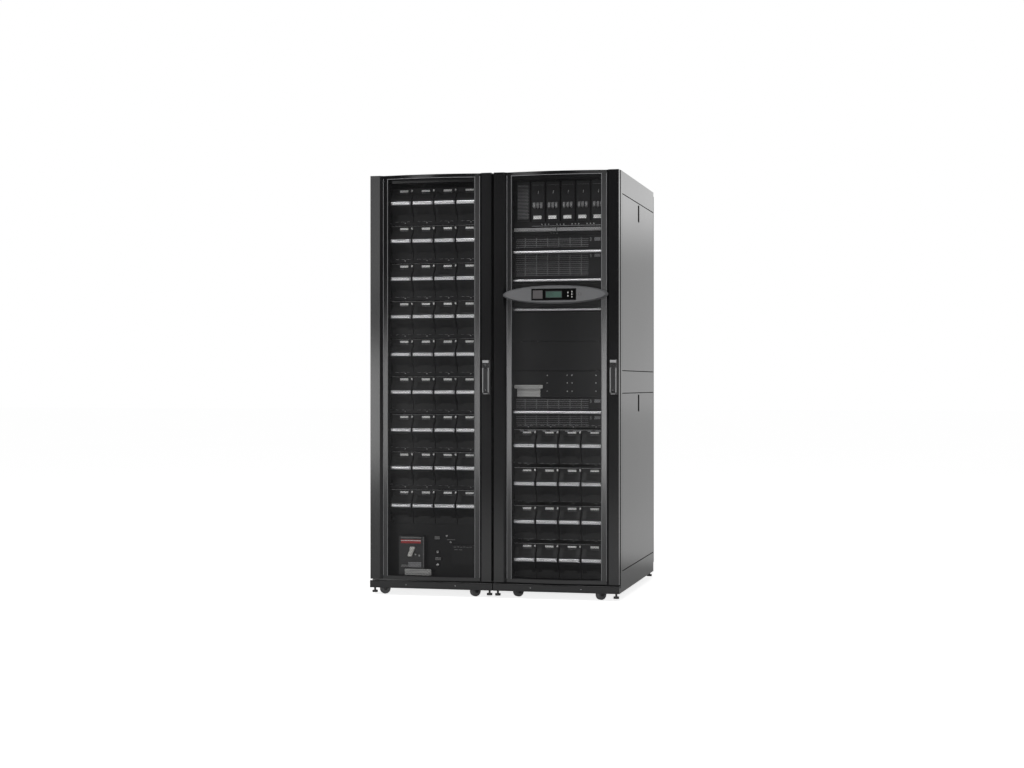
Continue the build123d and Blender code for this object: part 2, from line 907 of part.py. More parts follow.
def pull_bar(x, bar_z, length, height):
    """A bar with slanted ends, lying on a module's ridge."""
    back = face_y - nose_proud
    outline = [
        (x - length / 2, back), (x - length / 2 + bar_end_slant, back - bar_depth),
        (x + length / 2 - bar_end_slant, back - bar_depth), (x + length / 2, back),
    ]
    return prism_z(outline, bar_z - height / 2, bar_z + height / 2)


def battery_places(side, rows):
    centre = cabinet_centre(side)
    first = centre - (battery_count - 1) / 2 * battery_pitch
    return [(first + i * battery_pitch, z) for z in rows for i in range(battery_count)]


def all_battery_places():
    return battery_places(-1, left_rows) + battery_places(1, right_rows)


def battery_modules():
    return solids_of([battery_module(x, z) for x, z in all_battery_places()])


def battery_bars():
    return solids_of([pull_bar(x, z, bar_length, bar_height) for x, z in all_battery_places()])


# Wide modules of the right enclosure

def wide_module(low, high, bar_z):
    """A full-width module with a ridge for its pull bar."""
    centre = cabinet_centre(1)
    half = wide_module_width / 2
    body = box(centre - half, centre + half, face_y, face_y + module_depth, low, high)
    ridge = [
        (face_y, bar_z + wide_bar_height), (face_y - nose_proud, bar_z + wide_bar_height / 2),
        (face_y - nose_proud, bar_z - wide_bar_height / 2), (face_y, bar_z - wide_bar_height / 2),
    ]
    return body + prism_x(ridge, centre - half + wide_bar_margin, centre + half - wide_bar_margin)


def power_modules():
    return solids_of([wide_module(*module) for module in wide_modules])


def wide_bars():
    centre = cabinet_centre(1)
    return solids_of([pull_bar(centre, bar, wide_bar_length, wide_bar_height) for low, high, bar in wide_modules])


def cover_panel(side, low, high):
    """A plate screwed to the front of the rack rails' flanges."""
    centre = cabinet_centre(side)
    return box(
        centre - cover_half_width, centre + cover_half_width, cover_front_y, cover_front_y + cover_thickness,
        low, high,
    )


def cover_panels():
    """Plates over the free bays, the connection bay and the battery breaker bay."""
    blank_panel_bottom = blank_panel_top - blank_panel_height
    middle = (blank_panel_bottom + blank_panel_top) / 2
    return solids_of([
        cover_panel(1, blank_panel_bottom, middle - panel_gap), cover_panel(1, middle + panel_gap, blank_panel_top),
        cover_panel(1, connection_panel_bottom, connection_panel_top),
        cover_panel(-1, floor_top, breaker_panel_top),
    ])


def rating_plate():
    """The pale folded plate at the left of the connection panel."""
    x0 = cabinet_centre(1) - cover_half_width + plate_from_edge
    x1 = x0 + plate_width
    low = connection_panel_bottom + plate_rise
    fold = low + plate_web_height
    made = box(x0, x1, cover_front_y - plate_proud, cover_front_y, fold, fold + plate_flange_height)
    made += box(x0 + plate_step, x1 - plate_step, cover_front_y - skin, cover_front_y, low, fold)
    return made


# Distribution section

def slot_centres():
    centre = cabinet_centre(1)
    first = centre + slot_offset - (slot_count - 1) / 2 * slot_pitch
    return [first + i * slot_pitch for i in range(slot_count)]


def distribution_modules():
    """Breaker modules hung side by side; the first slot holds a blank."""
    made = []
    for x in slot_centres():
        made.append(box(
            x - slot_module_width / 2, x + slot_module_width / 2, face_y - slot_proud, face_y + slot_depth,
            slot_bottom, slot_top,
        ))
    return solids_of(made)


def distribution_toggles():
    made = []
    front = face_y - slot_proud
    for x in slot_centres()[1:]:
        for i in range(toggle_count):
            tx = x + (i - (toggle_count - 1) / 2) * toggle_pitch
            made.append(box(
                tx - toggle_width / 2, tx + toggle_width / 2, front - toggle_proud, front,
                toggle_bottom, toggle_bottom + toggle_height,
            ))
    return solids_of(made)


def distribution_tray():
    """The tray that the breaker modules stand on."""
    centre = cabinet_centre(1)
    half = wide_module_width / 2
    return box(centre - half, centre + half, face_y, face_y + slot_depth, tray_bottom, tray_top)


def distribution_ledge():
    centre = cabinet_centre(1)
    half = wide_module_width / 2
    return box(
        centre - half + 8, centre + half - 8, face_y - ledge_proud, face_y,
        ledge_z - ledge_height / 2, ledge_z + ledge_height / 2,
    )


# Breaker section at the bottom of the left enclosure

def battery_breaker():
    centre = cabinet_centre(-1)
    return box(
        centre + breaker_left, centre + breaker_right, cover_front_y - breaker_proud, cover_front_y,
        breaker_bottom, breaker_top,
    )


def breaker_toggle():
    x = cabinet_centre(-1) + (breaker_left + breaker_right) / 2
    front = cover_front_y - breaker_proud
    return box(
        x - breaker_toggle_width / 2, x + breaker_toggle_width / 2, front - breaker_toggle_proud, front,
        breaker_toggle_bottom, breaker_toggle_top,
    )


def connectors():
    """The column of round sockets and the terminal block beside the breaker."""
    centre = cabinet_centre(-1)
    made = [
        along_y(centre + connector_x, cover_front_y - connector_proud, cover_front_y, z, connector_radius)
        for z in connector_heights
    ]
    terminal_right = centre + cover_half_width - terminal_from_edge
    made.append(box(
        terminal_right - terminal_width, terminal_right, cover_front_y - terminal_proud, cover_front_y,
        terminal_bottom, terminal_top,
    ))
    return solids_of(made)


# Casters

def caster_places(side, rear):
    centre = cabinet_centre(side)
    reach = half_opening() + post_size - caster_from_side
    y = frame_rear_y - caster_from_rear if rear else door_front_y + caster_from_front
    return [(centre - reach, y), (centre + reach, y)]


def caster_plates():
    """Bolted top plates with the kingpins that the front forks turn on."""
    made = []
    for side in (-1, 1):
        for rear in (False, True):
            for x, y in caster_places(side, rear):
                half = caster_plate_size / 2
                plate = box(x - half, x + half, y - half, y + half, caster_plate_bottom, caster_plate_top)
                if not rear:
                    plate += upright(x, y, crown_bottom, caster_plate_bottom, kingpin_radius)
                made.append(plate)
    return solids_of(made)


def fork_at_origin(bored):
    """A fork whose wheel trails along -Y, with its kingpin axis at x = y = 0."""
    crown_top = crown_bottom + crown_height
    leg_in = wheel_width / 2 + fork_gap
    made = upright(0, 0, crown_bottom, crown_top, crown_radius)
    for s in (-1, 1):
        leg = [
            (crown_radius * 0.7, crown_bottom), (crown_radius * 0.7, crown_bottom + 3),
            (-crown_radius * 0.9, crown_bottom + 3), (-trail - fork_boss_radius, wheel_radius),
            (-trail - fork_boss_radius * 0.7, wheel_radius - fork_boss_radius * 0.7),
            (-trail, wheel_radius - fork_boss_radius),
            (-trail + fork_boss_radius * 0.7, wheel_radius - fork_boss_radius * 0.7),
            (-trail + fork_boss_radius, wheel_radius),
        ]
        made += prism_x(leg, min(s * leg_in, s * (leg_in + fork_plate)), max(s * leg_in, s * (leg_in + fork_plate)))
    made += along_x(-leg_in - fork_plate - 2, leg_in + fork_plate + 2, -trail, wheel_radius, axle_radius)
    if bored:
        made -= upright(0, 0, crown_bottom, crown_top, kingpin_radius + pin_clearance)
    return made


def wheel_at_origin():
    wheel = along_x(-wheel_width / 2, wheel_width / 2, 0, 0, wheel_radius)
    wheel = fillet(wheel.edges().filter_by(GeomType.CIRCLE), wheel_round)
    return wheel - along_x(-wheel_width / 2, wheel_width / 2, 0, 0, axle_radius + axle_clearance)


def front_caster_poses():
    """(x, y, turn) of the four front casters, from the left."""
    places = caster_places(-1, False) + caster_places(1, False)
    return [(x, y, turn) for (x, y), turn in zip(places, front_caster_turns)]


def front_fork(pose):
    x, y, turn = pose
    return Pos(x, y, 0) * Rot(0, 0, turn) * fork_at_origin(True)


def front_wheel(pose):
    x, y, turn = pose
    return Pos(x, y, 0) * Rot(0, 0, turn) * Pos(0, -trail, wheel_radius) * wheel_at_origin()


def rear_forks():
    places = caster_places(-1, True) + caster_places(1, True)
    fork = fork_at_origin(False) + upright(0, 0, crown_bottom, caster_plate_bottom, crown_radius)
    return solids_of([Pos(x, y, 0) * Rot(0, 0, 180) * fork for x, y in places])


def rear_wheels():
    places = caster_places(-1, True) + caster_places(1, True)
    return solids_of([Pos(x, y + trail, wheel_radius) * wheel_at_origin() for x, y in places])


def build():
    """Every node's name and shape."""
    nodes = {
        "frame_posts": frame_posts(),
        "frame_bands": frame_bands(),
        "cross_members": cross_members(),
        "plinths": solids_of([plinth(-1), plinth(1)]),
        "side_skirts": side_skirts(),
        "joining_strips": joining_strips(),
        "floor_plates": floor_plates(),
        "roofs": roofs(),
        "side_panels": side_panels(),
        "panel_latches": panel_latches(),
        "rear_doors": rear_doors(),
        "rear_handles": rear_handles(),
        "levelling_feet": levelling_feet(),
        "caster_plates": caster_plates(),
        "rear_forks": rear_forks(),
        "rear_wheels": rear_wheels(),
        "rack_rails": rack_rails(),
        "shelves": shelves(),
        "battery_modules": battery_modules(),
        "battery_bars": battery_bars(),
        "power_modules": power_modules(),
        "wide_bars": wide_bars(),
        "cover_panels": cover_panels(),
        "rating_plate": rating_plate(),
        "distribution_modules": distribution_modules(),
        "distribution_toggles": distribution_toggles(),
        "distribution_tray": distribution_tray(),
        "distribution_ledge": distribution_ledge(),
        "battery_breaker": battery_breaker(),
        "breaker_toggle": breaker_toggle(),
        "connectors": connectors(),
        "hinge_arms": hinge_arms(),
        "display_housing": display_housing(),
        "display_panel": display_panel(),
        "display_screen": display_screen(),
        "display_buttons": display_buttons(),
    }
    for name, side in (("left", -1), ("right", 1)):
        nodes[f"{name}_door_frame"] = door_frame(side)
        nodes[f"{name}_door_mesh"] = door_mesh(side)
        nodes[f"{name}_handle_base"] = handle_base(side)
        nodes[f"{name}_handle_lever"] = handle_lever(side)
    for number, pose in enumerate(front_caster_poses(), start=1):
        nodes[f"front_fork_{number}"] = front_fork(pose)
        nodes[f"front_wheel_{number}"] = front_wheel(pose)
    return nodes


os.makedirs("parts", exist_ok=True)
for node_name, shape in build().items():
    export_step(shape, f"parts/{node_name}.step")
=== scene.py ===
import json
import math

import bmesh
import bpy
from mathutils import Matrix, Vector


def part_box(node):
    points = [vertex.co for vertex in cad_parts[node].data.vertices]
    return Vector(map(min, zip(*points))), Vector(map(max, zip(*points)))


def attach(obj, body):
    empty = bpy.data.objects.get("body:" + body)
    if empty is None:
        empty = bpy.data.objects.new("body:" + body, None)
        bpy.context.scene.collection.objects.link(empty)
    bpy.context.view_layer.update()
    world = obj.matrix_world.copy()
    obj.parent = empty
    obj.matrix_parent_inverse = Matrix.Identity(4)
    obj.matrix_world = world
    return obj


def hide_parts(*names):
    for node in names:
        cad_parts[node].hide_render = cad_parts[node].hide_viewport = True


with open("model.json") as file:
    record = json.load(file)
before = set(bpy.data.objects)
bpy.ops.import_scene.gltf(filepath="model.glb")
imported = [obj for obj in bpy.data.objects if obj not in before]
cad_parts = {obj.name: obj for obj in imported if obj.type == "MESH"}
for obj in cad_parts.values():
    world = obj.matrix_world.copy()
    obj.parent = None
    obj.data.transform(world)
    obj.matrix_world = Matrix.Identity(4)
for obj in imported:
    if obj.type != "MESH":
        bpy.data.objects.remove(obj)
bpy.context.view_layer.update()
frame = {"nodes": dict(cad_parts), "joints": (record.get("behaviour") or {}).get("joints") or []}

bl_info = {
    "name": "Modular UPS Cabinet",
    "version": (1, 0, 0),
    "blender": (4, 5, 0),
    "location": "View3D > Sidebar > UPS Cabinet",
    "description": "Finishes and small pieces of a two bay modular battery and power cabinet",
    "category": "Object",
}

# Places read from the frame

mesh_low, mesh_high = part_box("left_door_mesh")
mesh_half = (mesh_high.x - mesh_low.x) / 2
cover_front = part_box("cover_panels")[0].y

# Measures that several pieces share, in metres

face = cover_front + 0.006  # front plane of the modules
bay_centres = (-0.301, 0.301)
module_pitch = 0.1078
label_proud = 0.0006
sink = 0.0002  # how far a mark reaches back into the face that carries it
rounding = 0.6  # angle in radians above which an edge of a rounded piece stays sharp


# Mesh helpers

def point_on(axis, along, p, q):
    """A point from its place along an axis and along the two axes that follow it."""
    point = [0, 0, 0]
    point[axis], point[(axis + 1) % 3], point[(axis + 2) % 3] = along, p, q
    return point


class Shape:
    """Corners and faces of one piece, gathered solid by solid."""

    def __init__(self):
        self.corners = []
        self.faces = []

    def add(self, corners, faces):
        first = len(self.corners)
        self.corners.extend(tuple(c) for c in corners)
        self.faces.extend(tuple(first + i for i in f) for f in faces)

    def block(self, start, end, edge=0.0002):
        """A box between two opposite corners, its own edges and corners cut off by edge."""
        low, high = (Vector([pick(start[a], end[a]) for a in range(3)]) for pick in (min, max))
        most = 0.45  # of the shortest side
        edge = min([edge] + [(high[a] - low[a]) * most for a in range(3)])
        corners = []
        for n in range(8):
            ends = [(n >> a) & 1 for a in range(3)]
            for flat in range(3):
                corners.append([
                    (high[a] if ends[a] else low[a]) + (0 if a == flat else (-edge if ends[a] else edge))
                    for a in range(3)
                ])
        faces = []
        for a in range(3):
            b, c = (a + 1) % 3, (a + 2) % 3
            for s in (0, 1):
                ring = [(s << a) | (p << b) | (q << c) for p, q in ((0, 0), (1, 0), (1, 1), (0, 1))]
                faces.append([n * 3 + a for n in ring])
                for t in (0, 1):
                    n0 = (s << b) | (t << c)
                    n1 = n0 | (1 << a)
                    faces.append([n0 * 3 + b, n1 * 3 + b, n1 * 3 + c, n0 * 3 + c])
        faces += [[n * 3, n * 3 + 1, n * 3 + 2] for n in range(8)]
        self.add(corners, faces)

    def plate(self, x, z, front, proud, edge=0.0002):
        """A block between two x and two z places, proud of a face that looks to the front."""
        self.block((x[0], front - proud, z[0]), (x[1], front + sink, z[1]), edge)

    def loft(self, rings, loop=False):
        """A skin over rings of equally many points, capped at both ends or closed into a loop."""
        n = len(rings[0])
        faces = []
        for r in range(len(rings) if loop else len(rings) - 1):
            a, b = r * n, (r + 1) % len(rings) * n
            faces += [(a + k, a + (k + 1) % n, b + (k + 1) % n, b + k) for k in range(n)]
        if not loop:
            last = (len(rings) - 1) * n
            faces += [range(n), range(last, last + n)]
        self.add([corner for ring in rings for corner in ring], faces)

    def turned(self, centre, axis, profile, sides=24):
        """A round solid about a line along axis, from (distance along it, radius) steps."""
        a, b, c = (centre[(axis + k) % 3] for k in range(3))
        turns = [2 * math.pi * k / sides for k in range(sides)]
        self.loft([[point_on(axis, a + along, b + radius * math.cos(t), c + radius * math.sin(t)) for t in turns]
                   for along, radius in profile])

    def prism(self, outline, axis, start, end):
        """A straight solid along axis, from an outline of points in the other two axes' order."""
        self.loft([[point_on(axis, along, p, q) for p, q in outline] for along in sorted((start, end))])

    def screw(self, x, y, z, radius=0.003, proud=0.0012):
        """A low domed screw head with a round recess, facing the front."""
        profile = [(0, radius), (-proud * 0.5, radius), (-proud * 0.9, radius * 0.72), (-proud, radius * 0.42),
                   (-proud * 0.3, radius * 0.34)]
        self.turned((x, y, z), 1, profile, 14)


def shapes(count):
    """Several empty shapes."""
    return [Shape() for _ in range(count)]


def piece(body, name, slot, finish_name, shape, flat_angle=0.0):
    """Makes one object of a shape, finished and riding on its body; edges up to flat_angle look smooth."""
    mesh = bpy.data.meshes.new(name)
    mesh.from_pydata(shape.corners, [], shape.faces)
    made = bmesh.new()
    made.from_mesh(mesh)
    bmesh.ops.recalc_face_normals(made, faces=made.faces)
    for f in made.faces:
        f.smooth = flat_angle > 0
    made.to_mesh(mesh)
    made.free()
    if 0 < flat_angle < math.pi:
        mesh.set_sharp_from_angle(angle=flat_angle)
    thing = bpy.data.objects.new(name, mesh)
    bpy.context.scene.collection.objects.link(thing)
    mesh.materials.append(bpy.data.materials[finish_name])
    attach(thing, body)
    return thing


def pieces(body, rows):
    """Makes the pieces of one body, in order, from rows of what piece() takes after it."""
    for row in rows:
        piece(body, *row)


def centre_of(low, high):
    """The middle of a box, as three numbers."""
    return [(low[a] + high[a]) / 2 for a in range(3)]


def solids(node):
    """The lowest and highest corner of each separate solid of a node, from the top row down."""
    made = bmesh.new()
    made.from_mesh(frame["nodes"][node].data)
    one_point = 1e-5
    bmesh.ops.remove_doubles(made, verts=made.verts, dist=one_point)
    left = set(made.verts)
    found = []
    while left:
        stack = [left.pop()]
        group = []
        while stack:
            v = stack.pop()
            group.append(v.co.copy())
            for e in v.link_edges:
                other = e.other_vert(v)
                if other in left:
                    left.remove(other)
                    stack.append(other)
        found.append([Vector([pick(p[a] for p in group) for a in range(3)]) for pick in (min, max)])
    made.free()
    return sorted(found, key=lambda s: (round(-s[0].z, 3), s[0].x))


def from_left(node):
    """The boxes of a node's solids from left to right."""
    return sorted(solids(node), key=lambda s: s[0].x)


# Node helpers

def wire(tree, value, socket):
    """Sets a socket to a value, or links another node's output to it."""
    if hasattr(value, "is_output"):
        tree.links.new(value, socket)
    else:
        socket.default_value = value


def fill(tree, node, inputs):
    """Sets or links the named inputs of a node."""
    for name, value in inputs.items():
        wire(tree, value, node.inputs[name.replace("_", " ")])
    return node


def node_of(tree, kind, **inputs):
    """A new node with its named inputs set or linked."""
    return fill(tree, tree.nodes.new(kind), inputs)


def group_of(name, inputs, output_names):
    """An empty node group with its named float sockets."""
    made = bpy.data.node_groups.new(name, "ShaderNodeTree")
    for socket, value in inputs.items():
        made.interface.new_socket(socket, in_out="INPUT", socket_type="NodeSocketFloat").default_value = value
    for socket in output_names:
        made.interface.new_socket(socket, in_out="OUTPUT", socket_type="NodeSocketFloat")
    return made, made.nodes.new("NodeGroupInput").outputs, made.nodes.new("NodeGroupOutput").inputs


def placed_group(tree, name, **inputs):
    """A shared effect put into a material with its own numbers."""
    node = tree.nodes.new("ShaderNodeGroup")
    node.node_tree = bpy.data.node_groups[name]
    return fill(tree, node, inputs)


def math_node(tree, operation, *values):
    """A Math node whose inputs are numbers or sockets; gives its output."""
    node = tree.nodes.new("ShaderNodeMath")
    node.operation = operation
    for socket, value in zip(node.inputs, values):
        wire(tree, value, socket)
    return node.outputs[0]


def mixed(tree, mask, first, second, kind="RGBA"):
    """A Mix node between two colours, numbers or sockets; gives its output."""
    node = tree.nodes.new("ShaderNodeMix")
    node.data_type = kind
    first_input, output = {"RGBA": (6, 2), "FLOAT": (2, 0)}[kind]
    for index, value in ((0, mask), (first_input, first), (first_input + 1, second)):
        wire(tree, value, node.inputs[index])
    return node.outputs[output]


def ramp_node(tree, value, stops):
    """A value that runs through the given (position, level) stops."""
    curve = tree.nodes.new("ShaderNodeFloatCurve")
    low, high = stops[0][0], stops[-1][0]
    top = max(level for place, level in stops)
    points = curve.mapping.curves[0].points
    while len(points) < len(stops):
        points.new(0.5, 0.5)
    for point, (place, level) in zip(points, stops):
        point.location = ((place - low) / (high - low), level / top)
        point.handle_type = "VECTOR"
    curve.mapping.update()
    share = math_node(tree, "DIVIDE", math_node(tree, "SUBTRACT", value, low), high - low)
    wire(tree, share, curve.inputs["Value"])
    return math_node(tree, "MULTIPLY", curve.outputs[0], top)


def place_of(tree, output="Object"):
    """The object's own coordinates, or another output of a Texture Coordinate node."""
    return tree.nodes.new("ShaderNodeTexCoord").outputs[output]


def parts_of(tree, vector):
    """The X, Y and Z outputs of a split vector."""
    return node_of(tree, "ShaderNodeSeparateXYZ", Vector=vector).outputs


# Shared effects

def grain_group():
    """Fine paint or moulding grain with a slow mottle."""
    tree, enter, leave = group_of("Surface_Grain", {"Size": 0.002, "Mottle Size": 0.2}, ("Height", "Mottle"))
    for source, target, detail in (("Size", "Height", 2.0), ("Mottle Size", "Mottle", 4.0)):
        scale = math_node(tree, "DIVIDE", 1.0, enter[source])
        noise = node_of(tree, "ShaderNodeTexNoise", Vector=place_of(tree), Scale=scale, Detail=detail)
        wire(tree, noise.outputs["Fac"], leave[target])


def edge_group():
    """A mask that is high along outer edges, broken up by noise."""
    tree, enter, leave = group_of("Edge_Rub", {"Width": 0.0012, "Amount": 0.5}, ("Mask",))
    round_edge = node_of(tree, "ShaderNodeBevel", Radius=enter["Width"])
    round_edge.samples = 4
    flat = tree.nodes.new("ShaderNodeNewGeometry")
    turn = tree.nodes.new("ShaderNodeVectorMath")
    turn.operation = "DOT_PRODUCT"
    wire(tree, round_edge.outputs["Normal"], turn.inputs[0])
    wire(tree, flat.outputs["Normal"], turn.inputs[1])
    noise = node_of(tree, "ShaderNodeTexNoise", Vector=place_of(tree), Scale=35.0)
    gap = math_node(tree, "SUBTRACT", 1.0, turn.outputs["Value"])
    contrast = 6.0
    strong = math_node(tree, "MULTIPLY", gap, contrast)
    broken = math_node(tree, "MULTIPLY", strong, noise.outputs["Fac"])
    scaled = math_node(tree, "MULTIPLY", broken, enter["Amount"])
    wire(tree, math_node(tree, "MINIMUM", scaled, 1.0), leave["Mask"])


def dust_group():
    """A thin pale film that settles on faces that look up."""
    tree, enter, leave = group_of("Settled_Dust", {"Amount": 0.1}, ("Mask",))
    normal = parts_of(tree, tree.nodes.new("ShaderNodeNewGeometry").outputs["Normal"])
    noise = node_of(tree, "ShaderNodeTexNoise", Vector=place_of(tree), Scale=60.0, Detail=5.0)
    up = math_node(tree, "MAXIMUM", normal["Z"], 0.0)
    patchy = math_node(tree, "MULTIPLY", up, noise.outputs["Fac"])
    wire(tree, math_node(tree, "MULTIPLY", patchy, enter["Amount"]), leave["Mask"])


def hole_group():
    """Round holes in staggered rows over the X and Z directions."""
    tree, enter, leave = group_of("Staggered_Holes", {"Pitch": 0.008, "Hole": 0.0055}, ("Mask",))
    place = parts_of(tree, place_of(tree))
    whole_cells = 200.0  # keeps the counted cells positive
    nearest = []
    for shift in (0.0, 0.5):
        squares = []
        for axis, stretch in (("X", 1.0), ("Z", math.sqrt(3))):
            step = math_node(tree, "MULTIPLY", enter["Pitch"], stretch)
            cells = math_node(tree, "DIVIDE", place[axis], step)
            part = math_node(tree, "FRACT", math_node(tree, "ADD", cells, shift + whole_cells))
            off = math_node(tree, "MULTIPLY", math_node(tree, "SUBTRACT", part, 0.5), step)
            squares.append(math_node(tree, "MULTIPLY", off, off))
        nearest.append(math_node(tree, "SQRT", math_node(tree, "ADD", *squares)))
    radius = math_node(tree, "DIVIDE", enter["Hole"], 2.0)
    wire(tree, math_node(tree, "LESS_THAN", math_node(tree, "MINIMUM", *nearest), radius), leave["Mask"])


def shade(colour, factor):
    """A colour made darker or lighter, with full alpha."""
    return tuple(min(1.0, c * factor) for c in colour[:3]) + (1.0,)


def node_like(tree, kind):
    """The first node of a kind."""
    return next(n for n in tree.nodes if n.type == kind)


def finish(name, colour, rough, grain=0.0008, depth=0.00001, metal=0.0, spread=0.25, rough_spread=0.08,
           mottle=0.2, rub=0.0, dust=0.0, coat=0.0, coat_rough=0.1, specular=0.5, emit=0.0):
    """One painted, plated or moulded surface: mottled colour, fine grain, rubbed edges and settled dust."""
    made = bpy.data.materials.new(name)
    made.use_nodes = True
    tree = made.node_tree
    tree.nodes.clear()
    surface = placed_group(tree, "Surface_Grain", Size=grain, Mottle_Size=mottle).outputs
    tone = mixed(tree, surface["Mottle"], shade(colour, 1 - spread), shade(colour, 1 + spread))
    if rub > 0:
        edge = placed_group(tree, "Edge_Rub", Amount=rub)
        tone = mixed(tree, edge.outputs["Mask"], tone, shade(colour, 3.0))
    if dust > 0:
        film = placed_group(tree, "Settled_Dust", Amount=dust)
        tone = mixed(tree, film.outputs["Mask"], tone, (0.35, 0.34, 0.32, 1.0))
    gloss = mixed(tree, surface["Mottle"], rough - rough_spread, rough + rough_spread, "FLOAT")
    bump = node_of(tree, "ShaderNodeBump", Strength=1.0, Distance=depth, Height=surface["Height"])
    shader = node_of(tree, "ShaderNodeBsdfPrincipled", Base_Color=tone, Roughness=gloss,
                     Normal=bump.outputs["Normal"], Metallic=metal, Specular_IOR_Level=specular, Coat_Weight=coat,
                     Coat_Roughness=coat_rough)
    if emit > 0:
        fill(tree, shader, {"Emission Color": shade(colour, 1.0), "Emission Strength": emit})
    node_of(tree, "ShaderNodeOutputMaterial", Surface=shader.outputs[0])
    return tree


def brushed(name, colour, rough):
    """Drawn silver metal with fine lines along X."""
    tree = finish(name, colour, rough, 0.004, metal=1.0, spread=0.05, mottle=0.08)
    lines = node_of(tree, "ShaderNodeMapping", Vector=place_of(tree), Scale=(6.0, 500.0, 500.0))
    noise = node_of(tree, "ShaderNodeTexNoise", Vector=lines.outputs["Vector"], Scale=1.0)
    fill(tree, node_like(tree, "BUMP"), {"Distance": 0.000012, "Height": noise.outputs["Fac"]})


def perforated(name, colour):
    """Powder coated sheet with staggered round holes painted near black as the shade seen through them, for the rear
    leaves.
    """
    tree = finish(name, colour, 0.42, 0.0015, 0.00002, dust=0.1)
    holes = placed_group(tree, "Staggered_Holes", Pitch=0.009, Hole=0.0062).outputs["Mask"]
    base = node_like(tree, "BSDF_PRINCIPLED").inputs["Base Color"]
    # Holes painted near black: painted shade inside the holes.
    wire(tree, mixed(tree, holes, base.links[0].from_socket, (0.0015, 0.0015, 0.0015, 1)), base)
    height = node_like(tree, "BUMP").inputs["Height"]
    hole_depth = -30.0  # in units of the grain's depth
    sunk = math_node(tree, "MULTIPLY", holes, hole_depth)
    wire(tree, math_node(tree, "ADD", sunk, height.links[0].from_socket), height)


# Settings

def length(name, text, value):
    """A setting in metres."""
    return bpy.props.FloatProperty(
        name=name, description=text, default=value, min=0.0, unit="LENGTH", subtype="DISTANCE")


def tint(name, text, value):
    """A colour setting."""
    return bpy.props.FloatVectorProperty(
        name=name, description=text, default=value, size=3, min=0.0, max=1.0, subtype="COLOR")


def fraction(name, text, value):
    """A setting from 0 to 1."""
    return bpy.props.FloatProperty(name=name, description=text, default=value, min=0.0, max=1.0, subtype="FACTOR")


class UPSCABINET_PG_finishes(bpy.types.PropertyGroup):
    """Colours of the painted, plated and moulded surfaces."""
    paint: tint("Cabinet Paint", "Black powder coat of the frames, doors and side panels", (0.006, 0.006, 0.0065))
    inner_paint: tint("Inner Paint", "Dark paint of the panels inside the bays", (0.01, 0.01, 0.011))
    module: tint("Module Plastic", "Moulded fronts of the battery and power modules", (0.009, 0.009, 0.01))
    silver: tint("Silver", "Bars across the modules", (0.92, 0.92, 0.94))
    bezel: tint("Bezel", "Housing of the display", (0.1, 0.101, 0.105))
    screen: tint("Screen", "Face of the liquid crystal display", (0.06, 0.105, 0.088))
    label: tint("Label", "Plain labels on the modules", (0.92, 0.92, 0.91))
    paint_roughness: fraction("Paint Roughness", "How matt the black paint is", 0.16)


class UPSCABINET_PG_doors(bpy.types.PropertyGroup):
    """Perforation of the bowed front doors."""
    pitch: length("Hole Pitch", "Distance between the centres of neighbouring holes", 0.0076)
    web: length("Web Width", "Metal left between two holes", 0.0014)
    crown: length("Bow", "How far the middle of the sheet stands in front of its edges", 0.016)
    margin: length("Border", "Plain border around the holes", 0.0025)
    bead: length("Edge Bead", "Radius of the beads along the strips beside the sheet", 0.0015)


class UPSCABINET_PG_fronts(bpy.types.PropertyGroup):
    """Labels and marks of the module fronts."""
    label_width: length("Label Width", "Width of a battery module's label", 0.04)
    label_height: length("Label Height", "Height of a battery module's label", 0.009)
    label_rise: length("Label Rise", "Height of the label's middle above the bar's middle", 0.061)
    fin_pitch: length("Fin Pitch", "Distance between the grille's fins", 0.0091)
    rib_pitch: length("Rib Pitch", "Distance between the grille's upright ribs", 0.0537)


class UPSCABINET_PG_stage(bpy.types.PropertyGroup):
    """Floor, lamps and camera."""
    floor_glow: fraction("Floor Glow", "Light that the floor adds for the camera", 0.82)
    ambient: fraction("Ambient", "Even light of the surroundings", 0.2)
    focal_length: bpy.props.FloatProperty(
        name="Focal Length", description="Lens of the camera in millimetres", default=61.73, min=10.0, max=200.0)


# Operators

